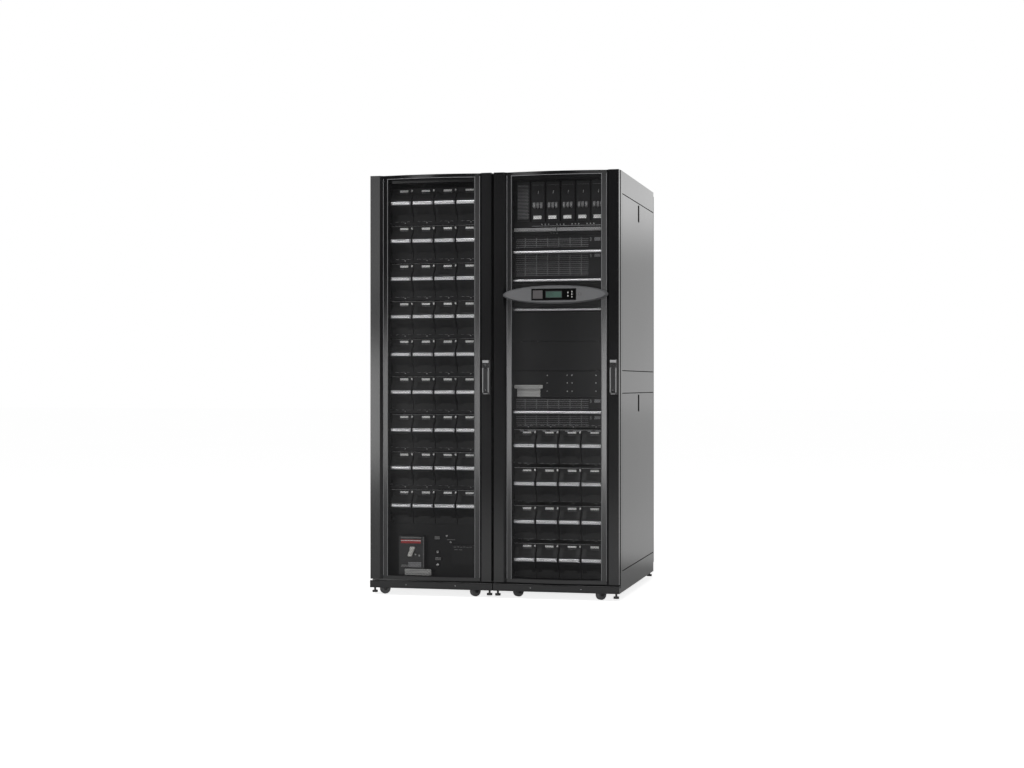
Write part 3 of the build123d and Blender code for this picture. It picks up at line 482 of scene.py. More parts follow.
class UPSCABINET_OT_finishes(bpy.types.Operator):
    """Makes every finish and puts it on the frame's nodes"""
    bl_idname = "upscabinet.finishes"
    bl_label = "Finishes"

    def execute(self, context):
        s = context.scene.ups_cabinet_finishes
        grain_group()
        edge_group()
        dust_group()
        hole_group()
        finish("Powder_Black", s.paint, s.paint_roughness, 0.0012, 0.000012, spread=0.15, rough_spread=0.03,
               mottle=0.5, rub=0.12, dust=0.03)
        finish("Mesh_Black", s.paint, 0.34, dust=0.05, specular=0.25)
        finish("Inner_Paint", s.inner_paint, 0.45, 0.0015, 0.00002, rub=0.2, dust=0.1, specular=0.25)
        finish("Module_Plastic", s.module, 0.42, 0.0009, 0.00003, spread=0.12, rub=0.15, dust=0.06, specular=0.3)
        # On the grille backs this near black is painted shade in the vent openings.
        finish("Vent_Dark", (0.006, 0.006, 0.007), 0.6, 0.001, 0.00002)
        finish("Bezel_Grey", s.bezel, 0.4, 0.0007, 0.00002, spread=0.08, rub=0.15, coat=0.15, coat_rough=0.3)
        finish("Deep_Plastic", (0.012, 0.012, 0.013), 0.3, 0.0007, 0.00001, coat=0.2)
        finish("Zinc_Plate", (0.42, 0.42, 0.43), 0.42, 0.003, 0.00002, metal=0.9, spread=0.2, mottle=0.03, rub=0.2)
        finish("Screen_Glass", s.screen, 0.16, 0.0006, 0.000004, spread=0.05, coat=0.6, coat_rough=0.05, emit=0.06)
        finish("Screen_Segment", shade(s.screen, 0.25), 0.3, 0.0006, 0.000004)
        finish("Label_White", s.label, 0.5, spread=0.05)
        finish("Label_Grey", (0.25, 0.25, 0.26), 0.5, spread=0.06)
        finish("Pale_Paint", (0.5, 0.5, 0.49), 0.45, 0.001, 0.00001, spread=0.06, dust=0.1)
        finish("White_Nylon", (0.72, 0.71, 0.68), 0.38, 0.0008, 0.00002, spread=0.05, rub=0.1)
        finish("Red_Stripe", (0.45, 0.03, 0.03), 0.45, spread=0.08)
        finish("Tread_Grey", (0.13, 0.13, 0.132), 0.5, 0.0012, 0.00006, mottle=0.01, dust=0.4)
        finish("Caster_Black", (0.026, 0.026, 0.026), 0.3, 0.001, 0.00003, rub=0.2, dust=0.2)
        finish("Satin_Grey", (0.34, 0.34, 0.345), 0.38, 0.0009, 0.00002, spread=0.08, rub=0.2)
        # On the door beads this grey paints highlight lines along the door sheets' edges.
        finish("Louvre_Grey", (0.17, 0.17, 0.175), 0.4, 0.0009, 0.00002, spread=0.1, rub=0.3)
        # In the side seams and behind the latch openings this dead black also paints the shade of those gaps.
        finish("Seal_Black", (0.003, 0.003, 0.003), 0.95, 0.0012, 0.00004, mottle=0.02, specular=0.05)
        finish("Label_Faded", (0.16, 0.16, 0.16), 0.55, spread=0.1)
        finish("Block_Grey", (0.062, 0.056, 0.058), 0.45, spread=0.08)
        finish("Brush_Bristle", (0.01, 0.01, 0.01), 0.8, 0.0006, 0.0003, spread=0.5, mottle=0.004)
        finish("Screw_Steel", (0.5, 0.5, 0.5), 0.35, 0.0008, 0.00002, metal=1.0, mottle=0.01)
        brushed("Brushed_Silver", s.silver, 0.31)
        perforated("Rear_Perforation", s.paint)
        nodes_of = {
            "Powder_Black": "frame_posts frame_bands cross_members plinths side_skirts joining_strips roofs "
                            "side_panels left_door_frame right_door_frame left_door_mesh right_door_mesh",
            "Inner_Paint": "floor_plates shelves cover_panels distribution_tray rack_rails",
            "Satin_Grey": "distribution_toggles distribution_ledge",
            "Rear_Perforation": "rear_doors",
            "Seal_Black": "panel_latches display_panel",
            "Deep_Plastic": "rear_handles left_handle_base right_handle_base left_handle_lever right_handle_lever "
                            "battery_breaker",
            "Caster_Black": "levelling_feet rear_forks front_fork_1 front_fork_2 front_fork_3 front_fork_4",
            "Zinc_Plate": "hinge_arms caster_plates",
            "Module_Plastic": "battery_modules power_modules distribution_modules connectors",
            "Brushed_Silver": "battery_bars wide_bars",
            "Pale_Paint": "rating_plate",
            "White_Nylon": "breaker_toggle",
            "Bezel_Grey": "display_housing display_buttons",
            "Screen_Glass": "display_screen",
            "Tread_Grey": "rear_wheels front_wheel_1 front_wheel_2 front_wheel_3 front_wheel_4",
        }
        unfinished = set(frame["nodes"])
        for name, nodes in nodes_of.items():
            for node in nodes.split():
                unfinished.remove(node)
                thing = frame["nodes"][node]
                if not thing.material_slots:
                    thing.data.materials.append(bpy.data.materials[name])
                for place in thing.material_slots:
                    place.material = bpy.data.materials[name]
        if unfinished:
            raise RuntimeError("nodes without a finish: " + ", ".join(sorted(unfinished)))
        return {"FINISHED"}


class UPSCABINET_OT_door_meshes(bpy.types.Operator):
    """Makes the perforated sheets of both front doors with their beads and top lips, whose grey paints highlight
    lines along the sheets' edges
    """
    bl_idname = "upscabinet.door_meshes"
    bl_label = "Door Meshes"

    strip_width = 0.025

    def execute(self, context):
        s = context.scene.ups_cabinet_doors
        for side in ("left", "right"):
            node = side + "_door_mesh"
            low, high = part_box(node)
            centre = (low.x + high.x) / 2
            sheet = self.honeycomb(centre, low.z, high.z, s)
            body = side + "_door"
            made = piece(body, side + "_door_perforation", "black_mesh", "Mesh_Black", sheet, math.pi)
            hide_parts(node)
            beads = Shape()
            turns = [math.pi * k / 8 for k in range(9)]
            inner_back, outer_back = 0.0026, -0.0014
            for way in (-1, 1):
                for out, back in ((s.bead, inner_back), (self.strip_width - s.bead, outer_back)):
                    x = centre + way * (mesh_half + out)
                    outline = [(x + s.bead * math.cos(t), high.y - back - s.bead * math.sin(t)) for t in turns]
                    beads.prism(outline, 2, low.z, high.z)
            self.lip(beads, centre, high.z - s.bead - 0.0003, s)
            # The grey Louvre_Grey finish on the beads and lip is painted highlight, not the doors' own colour.
            piece(body, side + "_door_highlight_beads", "zinc", "Louvre_Grey", beads, 0.8)
        return {"FINISHED"}

    def bowed(self, x, centre, crown):
        """Where the bowed sheet lies along Y at x."""
        radius = (mesh_half ** 2 + crown ** 2) / (2 * crown)
        half_sheet = 0.0008
        return mesh_high.y - half_sheet - crown + radius - math.sqrt(radius ** 2 - (x - centre) ** 2)

    def honeycomb(self, centre, low_z, high_z, s):
        """A bowed sheet of hexagonal holes with a plain border."""
        hole = (s.pitch - s.web) / math.sqrt(3)
        row = s.pitch * math.sqrt(3) / 2
        left, right = centre - mesh_half + s.margin, centre + mesh_half - s.margin
        low, high = low_z + s.margin, high_z - s.margin
        columns = int((right - left) / s.pitch) + 3
        rows = int((high - low) / row) + 3
        turns = [math.radians(30 + 60 * k) for k in range(6)]
        corners, faces = [], []

        def at(i, j, k):
            return (j * columns + i) * 6 + k

        for j in range(rows):
            for i in range(columns):
                x0 = left + (i - 0.5 + 0.5 * (j % 2)) * s.pitch
                z0 = low + (j - 0.5) * row
                for turn in turns:
                    x = min(max(x0 + hole * math.cos(turn), left), right)
                    z = min(max(z0 + hole * math.sin(turn), low), high)
                    corners.append((x, self.bowed(x, centre, s.crown), z))
        for j in range(rows):
            for i in range(columns):
                a = i + j % 2
                if i + 1 < columns:
                    faces.append((at(i, j, 5), at(i + 1, j, 3), at(i + 1, j, 2), at(i, j, 0)))
                if j + 1 < rows and 0 < a < columns:
                    faces.append((at(i, j, 0), at(a, j + 1, 4), at(a, j + 1, 3), at(i, j, 1)))
                    faces.append((at(i, j, 1), at(a - 1, j + 1, 5), at(a - 1, j + 1, 4), at(i, j, 2)))
                    faces.append((at(i, j, 1), at(a, j + 1, 3), at(a - 1, j + 1, 5)))
                if i + 1 < columns and j + 1 < rows and a < columns:
                    faces.append((at(i, j, 0), at(i + 1, j, 2), at(a, j + 1, 4)))
        shape = Shape()
        shape.add(corners, faces)
        steps = 24
        wide = [centre - mesh_half + 2 * mesh_half * k / steps for k in range(steps + 1)]
        for places, z0, z1 in ((wide, low_z, low), (wide, high, high_z), ((centre - mesh_half, left), low_z, high_z),
                               ((right, centre + mesh_half), low_z, high_z)):
            n = len(places)
            ring = [(x, self.bowed(x, centre, s.crown), z) for z in (z0, z1) for x in places]
            shape.add(ring, [(k, k + 1, n + k + 1, n + k) for k in range(n - 1)])
        return shape

    def lip(self, shape, centre, z, s):
        """A rounded bead that follows the bow along the top of the sheet, made to carry a painted highlight line."""
        steps = 24
        section = ((0.0004, -1), (-0.001, -1), (-0.0018, -0.5), (-0.0018, 0.5), (-0.001, 1), (0.0004, 1))
        rings = []
        for k in range(steps + 1):
            x = centre + mesh_half * (2 * k / steps - 1)
            rings.append([(x, self.bowed(x, centre, s.crown) + out, z + up * s.bead) for out, up in section])
        shape.loft(rings)


class UPSCABINET_OT_battery_fronts(bpy.types.Operator):
    """Puts the labels, tabs, marks, ledges and finger recesses on the battery modules"""
    bl_idname = "upscabinet.battery_fronts"
    bl_label = "Battery Fronts"

    def execute(self, context):
        s = context.scene.ups_cabinet_fronts
        labels, tabs, marks, ledges, recess = shapes(5)
        half, tall = s.label_width / 2, s.label_height / 2
        label_shift, scoop_outer, scoop_inner = 0.007, 0.0475, 0.0295
        mark_count, mark_pitch, mark_width = 6, 0.0068, 0.0042
        ledge_rise, ledge_half, ledge_proud, ledge_thick = 0.073, 0.0535, 0.0045, 0.0016
        bars = solids("battery_bars")
        left_top = max(high.z for low, high in bars if low.x < 0)
        for low, high in bars:
            x, _, z = centre_of(low, high)
            label, up = x + label_shift, z + s.label_rise
            labels.plate((label - half, label + half), (up - tall, up + tall), face, label_proud)
            tabs.plate((x + 0.0425, x + 0.0495), (up - 0.003, up + 0.007), face, 0.003, 0.0008)
            for k in range(mark_count):
                mark = label - half + 0.002 + k * mark_pitch
                marks.plate((mark, mark + mark_width), (up - 0.0118, up - 0.0103), face, 0.0005, 0.0001)
            for way in (-1, 1):
                for depths, z0, z1 in (((0.0006, 0.033, 0.0342, 0.0018), 0.0545, 0.0125),
                                       ((0.0334, 0.0006, 0.0018, 0.0342), -0.0145, -0.059)):
                    outline = [(face - depth, z + rise) for depth, rise in zip(depths, (z0, z1, z1, z0))]
                    recess.prism(outline, 0, x + way * scoop_outer, x + way * scoop_inner)
            if x > 0 or high.z < left_top - 0.01:
                top = z + ledge_rise
                ledges.prism([(face + sink, top), (face - ledge_proud, top), (face - ledge_proud, top + ledge_thick),
                              (face + sink, top + ledge_thick)], 0, x - ledge_half, x + ledge_half)
                ledges.screw(x + 0.013, face - 0.003 if x < 0 else face, z + 0.088, 0.0028, 0.001)
                for k in range(3):
                    dash = x - 0.035 + k * 0.028
                    ledges.block((dash, face - 0.0036, z + 0.0938), (dash + 0.017, face - 0.0028, z + 0.095))
        pieces("cabinet", (
            ("battery_labels", "pale_paint", "Label_White", labels),
            ("battery_tabs", "white_plastic", "Label_White", tabs),
            ("battery_marks", "pale_paint", "Label_Grey", marks),
            ("row_ledges", "zinc", "Satin_Grey", ledges),
            ("battery_scoops", "module_plastic", "Module_Plastic", recess),
        ))
        return {"FINISHED"}


class UPSCABINET_OT_bars(bpy.types.Operator):
    """Rounds the drawn pull bars of the modules"""
    bl_idname = "upscabinet.bars"
    bl_label = "Pull Bars"

    def execute(self, context):
        for node, name in (("battery_bars", "battery_pull_bars"), ("wide_bars", "wide_pull_bars")):
            shape = Shape()
            for low, high in solids(node):
                self.bar(shape, low, high)
            made = piece("cabinet", name, "silver", "Brushed_Silver", shape, 0.8)
            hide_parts(node)
        return {"FINISHED"}

    def bar(self, shape, low, high):
        """A bar of half-round section whose ends lean inward to the front."""
        depth, middle = high.y - low.y, (low.z + high.z) / 2
        half = (high.z - low.z) / 2 - 0.0006
        slant, steps = 0.006, 14
        corners = []
        for way, end in ((-1, low.x), (1, high.x)):
            for k in range(steps + 1):
                angle = math.pi * (k / steps - 0.5)
                out = max(math.cos(angle), 0.0) ** 0.4
                corners.append((end - way * slant * out, high.y - depth * out, middle + half * math.sin(angle)))
        n = steps + 1
        faces = [(k, k + 1, n + k + 1, n + k) for k in range(steps)] + [(0, steps, n + steps, n)]
        shape.add(corners, faces + [range(n), range(n, 2 * n)])


class UPSCABINET_OT_side_skins(bpy.types.Operator):
    """Makes the side panels with their latch openings, a dark seal strip in each seam that is partly painted shade of
    the seam gap, and a dark cup behind each opening that is painted shade inside it
    """
    bl_idname = "upscabinet.side_skins"
    bl_label = "Side Panels"

    def execute(self, context):
        skins, seals_and_seam_shade, shade_cups = shapes(3)
        shorter, seam, seam_half, seam_thick, opening_half, cup_rim = 0.0028, 0.0012, 0.0019, 0.0008, 0.02, 0.002
        latches = solids("panel_latches")
        for low, high in solids("side_panels"):
            side = 1 if high.x > 0 else -1
            outer, inner = (side * pick(abs(low.x), abs(high.x)) for pick in (max, min))
            latch = next(s for s in latches if s[0].x * side > 0 and low.z < s[0].z < high.z)
            y = (latch[0].y + latch[1].y) / 2
            hole = ((y - opening_half, latch[0].z + 0.01), (y + opening_half, latch[1].z + 0.001))
            self.skin(skins, outer, inner, (low.y, low.z + shorter), (high.y, high.z - shorter), hole)
            # Dark strips in the top and bottom seams: partly seal, partly painted shade of the seam gap.
            for z in (low.z + seam, high.z - seam):
                seals_and_seam_shade.block((inner, low.y, z - seam_half), (inner + side * seam_thick, high.y, z + seam_half))
            # A near-black cup behind each latch opening: painted shade inside the opening.
            shade_cups.block((inner - side * 0.005, hole[0][0] - cup_rim, hole[0][1] - cup_rim),
                       (inner - side * 0.001, hole[1][0] + cup_rim, hole[1][1] + cup_rim), 0.0004)
        made = piece("cabinet", "side_skins", "black_paint", "Powder_Black", skins)
        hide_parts("side_panels")
        pieces("cabinet", (
            ("side_seals", "dark_plastic", "Seal_Black", seals_and_seam_shade),
            ("latch_cups", "dark_plastic", "Seal_Black", shade_cups),
        ))
        return {"FINISHED"}

    def skin(self, shape, outer, inner, start, end, hole):
        """A thin plate with rounded rims and one opening."""
        rim = 0.0008
        lean = rim if outer > 0 else -rim

        def ring(x, a, b, shrink):
            return [(x, a[0] + shrink, a[1] + shrink), (x, b[0] - shrink, a[1] + shrink),
                    (x, b[0] - shrink, b[1] - shrink), (x, a[0] + shrink, b[1] - shrink)]

        shape.loft([
            ring(inner, start, end, 0), ring(outer - lean, start, end, 0), ring(outer, start, end, rim),
            ring(outer, *hole, -rim), ring(outer - lean, *hole, 0), ring(inner, *hole, 0),
        ], loop=True)


class UPSCABINET_OT_grilles(bpy.types.Operator):
    """Builds the louvred grilles across the wide modules"""
    bl_idname = "upscabinet.grilles"
    bl_label = "Module Grilles"

    def execute(self, context):
        s = context.scene.ups_cabinet_fronts
        fins, marks, dark, blocks = shapes(4)
        left, right, first_rib = 0.095, 0.44, 0.1384
        fin_proud, rib_half, rib_proud = 0.0032, 0.0018, 0.0046
        for low, high in ((1.6421, 1.687), (1.509, 1.611), (0.883, 0.932), (0.803, 0.854)):
            # A near-black sheet behind the fins: painted shade in the vent openings.
            dark.plate((left, right), (low, high), face, 0.0004)
            for k in range(int((high - low) / s.fin_pitch) + 1):
                z = low + k * s.fin_pitch
                fins.prism([(face - fin_proud, z), (face - 0.0002, z + 0.0012), (face - 0.0002, z + 0.003),
                            (face - fin_proud, z + 0.0015)], 0, left, right)
            x = first_rib
            while x < right:
                fins.plate((x - rib_half, x + rib_half), (low, high), face, rib_proud, 0.0004)
                x += s.rib_pitch
            blocks.plate((0.447, 0.455), (high - 0.018, high - 0.001), face, 0.0008)
            marks.plate((0.468, 0.497), (high - 0.017, high - 0.001), face, 0.0008)
        pieces("cabinet", (
            ("grille_fins", "module_plastic", "Louvre_Grey", fins),
            ("grille_backs", "dark_plastic", "Vent_Dark", dark),
            ("grille_marks", "pale_paint", "Label_Grey", marks),
            ("grille_blocks", "pale_paint", "Label_Faded", blocks),
        ))
        return {"FINISHED"}


class UPSCABINET_OT_panel_details(bpy.types.Operator):
    """Adds the screws and labels of the cover panels and the breaker bay"""
    bl_idname = "upscabinet.panel_details"
    bl_label = "Panel Details"

    def execute(self, context):
        screws, labels, stripe, plates, faded, line, studs = shapes(7)
        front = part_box("battery_breaker")[0].y
        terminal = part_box("connectors")[0].y
        for x in (0.245, 0.34, 0.363, 0.477):
            for z in (1.043, 1.007, 0.969):
                screws.screw(x, cover_front, z)
        # stripe, line, label and pale marks on the breaker
        for shape, proud, x, z in (
            (stripe, 0.0005, (-0.4604, -0.3616), (0.2455, 0.2625)),
            (line, 0.0008, (-0.46, -0.362), (0.2563, 0.2592)),
            (labels, 0.0006, (-0.4232, -0.3596), (0.1323, 0.157)),
            (faded, 0.0006, (-0.46, -0.3616), (0.2687, 0.2765)),
            (faded, 0.0006, (-0.4584, -0.4232), (0.1326, 0.1437)),
            (faded, 0.0006, (-0.3505, -0.346), (0.131, 0.2775)),
        ):
            shape.plate(x, z, front, proud)
        # plate below the toggle, with two rows of marks
        plates.block((-0.4396, front - 0.0034, 0.0945), (-0.3103, front - 0.0022, 0.1247), 0.0004)
        plates.plate((-0.41, -0.39), (0.1, 0.12), front, 0.0024, 0.0004)
        for k in range(9):
            x = -0.4325 + k * 0.0137
            for start, end, low, high in ((x, x + 0.0085, 0.101, 0.103), (x + 0.003, x + 0.0105, 0.116, 0.118)):
                faded.block((start, front - 0.0036, low), (end, front - 0.0033, high), 0.0001)
        # raised plates beside the breaker
        for left, right, low, high in (
            (-0.3, -0.275, 0.264, 0.279), (-0.2973, -0.2682, 0.1657, 0.179), (-0.2377, -0.1989, 0.2622, 0.265),
        ):
            faded.block((left, cover_front - 0.0098, low), (right, cover_front - 0.009, high))
            faded.plate((left + 0.004, right - 0.004), (low + 0.0006, high - 0.0006), cover_front, 0.0092)
        # marks on the terminal block
        for k in range(6):
            x, rise = -0.203 + k * 0.0155, 0.0016 * (k % 2)
            faded.plate((x, x + 0.01), (0.229 + rise, 0.2318 + rise), terminal, 0.0006)
        for x in (-0.1995, -0.178):
            faded.plate((x, x + 0.017), (0.217, 0.2195), terminal, 0.0006)
        # studs and screws around the breaker
        for y, radius, proud, places in (
            (cover_front - 0.009, 0.0062, 0.0022, ((-0.286, 0.205), (-0.286, 0.144))),
            (cover_front, 0.0048, 0.0018, ((-0.2436, 0.2807), (-0.224, 0.252), (-0.095, 0.2359))),
            (front, 0.0042, 0.0014, ((-0.3882, 0.1928), (-0.3699, 0.1875))),
        ):
            for x, z in places:
                studs.screw(x, y, z, radius, proud)
        # two labels over each of the four modules of the right bay
        for k in range(8):
            out, half = (-0.018, 0.009) if k % 2 else (0.03, 0.02)
            x = bay_centres[1] + (k // 2 - 1.5) * module_pitch + out
            labels.plate((x - half, x + half), (0.779, 0.787), face, label_proud)
        self.rocker(front)
        pieces("cabinet", (
            ("breaker_plate", "pale_paint", "Pale_Paint", plates),
            ("breaker_marks", "pale_paint", "Label_Faded", faded),
            ("breaker_line", "pale_paint", "Label_White", line),
            ("terminal_studs", "zinc", "Screw_Steel", studs, rounding),
            ("cover_screws", "zinc", "Screw_Steel", screws, rounding),
            ("bay_labels", "pale_paint", "Label_Grey", labels),
            ("breaker_stripe", "pale_paint", "Red_Stripe", stripe),
        ))
        return {"FINISHED"}

    def rocker(self, front):
        """The breaker's leaning toggle, narrower at its front."""
        outline = ((-0.4225, 0.183), (-0.404, 0.183), (-0.4, 0.196), (-0.389, 0.224), (-0.39, 0.229),
                   (-0.413, 0.229), (-0.415, 0.21), (-0.424, 0.192))
        mid_x, mid_z = -0.4065, 0.206
        shape = Shape()
        shape.loft([
            [(mid_x + (x - mid_x) * share, y, mid_z + (z - mid_z) * share) for x, z in outline]
            for y, share in ((front + sink, 1.0), (front - 0.0095, 1.0), (front - 0.011, 0.86))
        ])
        made = piece("cabinet", "breaker_rocker", "white_plastic", "White_Nylon", shape)
        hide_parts("breaker_toggle")


class UPSCABINET_OT_distribution(bpy.types.Operator):
    """Shapes the breaker toggles and adds the marks of the distribution bay"""
    bl_idname = "upscabinet.distribution"
    bl_label = "Distribution Bay"

    def execute(self, context):
        toggles, labels, pegs, seams, rail, gap = shapes(6)
        latch_height, screw_height, ledge_screw_height = 1.893, 1.75, 1.709
        for low, high in solids("distribution_toggles"):
            x, half = (low.x + high.x) / 2, (high.x - low.x) / 2 - 0.0004
            for way in (-1, 1):
                self.fang(toggles, x + way * half / 2, half / 2 - 0.0002, low.y, high.y, low.z + 0.001,
                          high.z - 0.001)
        made = piece("cabinet", "breaker_toggles", "module_plastic", "Satin_Grey", toggles)
        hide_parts("distribution_toggles")
        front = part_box("distribution_modules")[0].y
        vents = 24
        for n, (low, high) in enumerate(from_left("distribution_modules")):
            x = (low.x + high.x) / 2
            seams.plate((low.x + 0.003, high.x - 0.003), (high.z - 0.016, high.z - 0.0145), front, 0.0008)
            if n == 0:
                for k in range(vents):
                    z = low.z + 0.012 + k * 0.0066
                    seams.prism([(front + sink, z), (front - 0.0022, z), (front - 0.0022, z + 0.001),
                                 (front + sink, z + 0.0026)], 0, low.x + 0.005, high.x - 0.005)
                continue
            labels.plate((x - 0.022, x + 0.016), (1.775, 1.791), front, label_proud)
            self.peg(pegs, x - 0.001, front, latch_height)
            for k in range(3):
                pegs.screw(x + 0.018 + k * 0.0158, face, screw_height, 0.0034, 0.002)
        for x in (0.262, 0.276, 0.29):
            pegs.screw(x, face, ledge_screw_height, 0.0022, 0.0015)
        low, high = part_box("distribution_ledge")
        rail.plate((low.x + 0.08, high.x), (1.741, 1.7438), face, 0.006, 0.0004)
        gap.block((0.292, low.y - 0.0006, low.z + 0.0002), (0.2965, low.y + 0.002, high.z - 0.0002), 0.0003)
        pieces("cabinet", (
            ("tray_rail", "zinc", "Satin_Grey", rail),
            ("breaker_labels", "pale_paint", "Label_White", labels),
            ("distribution_pegs", "zinc", "Screw_Steel", pegs),
            ("distribution_seams", "dark_plastic", "Louvre_Grey", seams),
            ("ledge_joint", "dark_plastic", "Vent_Dark", gap),
        ))
        return {"FINISHED"}

    def fang(self, shape, x, half, front, back, tip, top):
        """A toggle with a sloped face that ends in a point."""
        rear = [(x - half, top), (x + half, top), (x + half, tip + 0.009), (x, tip), (x - half, tip + 0.009)]
        near = [(x + (px - x) * 0.72, pz - 0.004 if pz == top else pz + 0.003) for px, pz in rear]
        shape.loft([[(px, back, pz) for px, pz in rear], [(px, front + 0.0006, pz) for px, pz in near]])

    def peg(self, shape, x, front, z):
        """A short slanted latch finger."""
        outline = ((0, 0), (0.0026, 0), (0.0056, 0.015), (0.003, 0.015))
        shape.loft([[(x + px, y, z + pz) for px, pz in outline] for y in (front - 0.003, front + sink)])


class UPSCABINET_OT_display(bpy.types.Operator):
    """Adds the raised rims, keys, lamp, segments and blank block of the display"""
    bl_idname = "upscabinet.display"
    bl_label = "Display"

    def execute(self, context):
        panel_low, panel_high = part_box("display_panel")
        screen_low, screen_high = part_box("display_screen")
        housing_low, housing_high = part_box("display_housing")
        rim, keys, caps, blank, ring, lamp, lines = shapes(7)
        front = panel_low.y
        self.frame_of(rim, panel_low, panel_high, front, 0.0022, 0.0012)
        self.frame_of(rim, screen_low, screen_high, front, 0.003, 0.001)
        blank.plate((panel_low.x + 0.005, screen_low.x - 0.016), (panel_low.z + 0.006, panel_high.z - 0.006), front,
                    0.0008, 0.0006)
        arrow_proud, arrow_size = 0.0005, 0.0037
        buttons = sorted(solids("display_buttons"), key=lambda s: (round(s[0].x, 3), -s[0].z))
        for (low, high), turn in zip(buttons, (90, 270, 90, 0, 270)):
            x, _, z = centre_of(low, high)
            radius, deep = (high.x - low.x) / 2, high.y - low.y - arrow_proud
            caps.turned((x, high.y, z), 1, [(0, radius), (-deep + 0.0006, radius), (-deep, radius - 0.0006)])
            self.arrow(keys, x, low.y + arrow_proud, z, arrow_size, turn)
        made = piece("right_door", "display_keys", "grey_plastic", "Deep_Plastic", caps)
        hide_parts("display_buttons")
        lamp_x = 0.4205
        place = (lamp_x, housing_low.y + sink, ((housing_low + housing_high) / 2).z + 0.001)
        ring.turned(place, 1, [(0, 0.0075), (-0.0008, 0.0073), (-0.0008, 0.0055), (0.0001, 0.005)], 28)
        lamp.turned(place, 1, [(0, 0.0034), (-0.001, 0.0032), (-0.0016, 0.0018)], 20)
        line_pitch, gap, millimetre = 0.0055, 0.003, 0.001
        for row, widths in enumerate(((9, 12, 5), (14, 8), (6, 10, 7), (11,))):
            x = screen_low.x + 0.006
            z = screen_high.z - line_pitch - row * line_pitch
            for width in widths:
                end = x + width * millimetre
                lines.block((x, screen_low.y - 0.0002, z - 0.0012), (end, screen_low.y + 0.0001, z + 0.0006), 0.0001)
                x += width * millimetre + gap
        pieces("right_door", (
            ("display_rims", "dark_plastic", "Deep_Plastic", rim),
            ("display_block", "grey_plastic", "Block_Grey", blank),
            ("display_key_marks", "grey_plastic", "Label_White", keys),
            ("display_lamp_ring", "grey_plastic", "Block_Grey", ring),
            ("display_lamp", "white_plastic", "Label_Faded", lamp),
            ("display_segments", "dark_plastic", "Screen_Segment", lines),
        ))
        return {"FINISHED"}

    def frame_of(self, shape, low, high, front, edge, proud):
        """A thin raised frame just outside a box."""
        for x0, x1, z0, z1 in (
            (low.x - edge, high.x + edge, high.z - 0.0002, high.z + edge),
            (low.x - edge, high.x + edge, low.z - edge, low.z + 0.0002),
            (low.x - edge, low.x + 0.0002, low.z + 0.0002, high.z - 0.0002),
            (high.x - 0.0002, high.x + edge, low.z + 0.0002, high.z - 0.0002),
        ):
            shape.block((x0, front - proud, z0), (x1, front + 0.0004, z1), 0.0004)

    def arrow(self, shape, x, front, z, size, turn):
        """A raised arrow head on a key; turn is its direction in degrees from +X."""
        points = [(x + size * math.cos(math.radians(turn + a)), z + size * math.sin(math.radians(turn + a)))
                  for a in (0, 130, 230)]
        shape.loft([[(px, y, pz) for px, pz in points] for y in (front - 0.0004, front + 0.0001)])


class UPSCABINET_OT_handles(bpy.types.Operator):
    """Adds the bright rails, caps, lock barrels, grips and studs of the door handles"""
    bl_idname = "upscabinet.handles"
    bl_label = "Door Handles"

    def execute(self, context):
        rail_outer, rail_inner, lock_height, grip_count, grip_pitch = 0.015, 0.0112, 1.091, 9, 0.0085
        cap_half, cap_heights = 0.0148, (1.1005, 1.1125)
        for side in ("left", "right"):
            rails, lock, cap, grip, stud = shapes(5)
            low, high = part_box(side + "_handle_base")
            lever_low, lever_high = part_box(side + "_handle_lever")
            x = (low.x + high.x) / 2
            front = low.y + 0.003
            for way in (-1, 1):
                rails.plate((x + way * rail_outer, x + way * rail_inner), (lever_low.z - 0.004, lever_high.z + 0.004),
                            front, 0.0014, 0.0006)
            cap.plate((x - cap_half, x + cap_half), cap_heights, front, 0.0014, 0.0008)
            rails.plate((x - 0.0105, x + 0.0105), (low.z + 0.001, low.z + 0.0036), front, 0.0012, 0.0006)
            lock.turned((x, low.y + 0.0004, lock_height), 1,
                        [(0.001, 0.0068), (-0.0004, 0.0066), (-0.0004, 0.005), (0.0004, 0.0048), (0.0004, 0.0044),
                         (-0.0002, 0.0042)], 28)
            lock.block((x - 0.0006, low.y - 0.0001, 1.0882), (x + 0.0006, low.y + 0.0012, 1.0938))
            for k in range(grip_count):
                z = lever_low.z + 0.022 + k * grip_pitch
                grip.block((x - 0.0065, lever_low.y, z), (x + 0.0065, lever_low.y + 0.0006, z + 0.0016), 0.0003)
            stud.turned((x, lever_low.y + 0.0009, lever_low.z + 0.0085), 1,
                        [(0.001, 0.0046), (-0.0007, 0.0044), (-0.0009, 0.002)], 20)
            pieces(side + "_door", (
                (side + "_handle_rails", "grey_plastic", "Satin_Grey", rails),
                (side + "_handle_cap", "grey_plastic", "Satin_Grey", cap),
                (side + "_lock_barrel", "zinc", "Screw_Steel", lock),
            ))
            pieces(side + "_lever", (
                (side + "_lever_grip", "dark_plastic", "Deep_Plastic", grip),
                (side + "_lever_stud", "zinc", "Screw_Steel", stud, rounding),
            ))
        return {"FINISHED"}


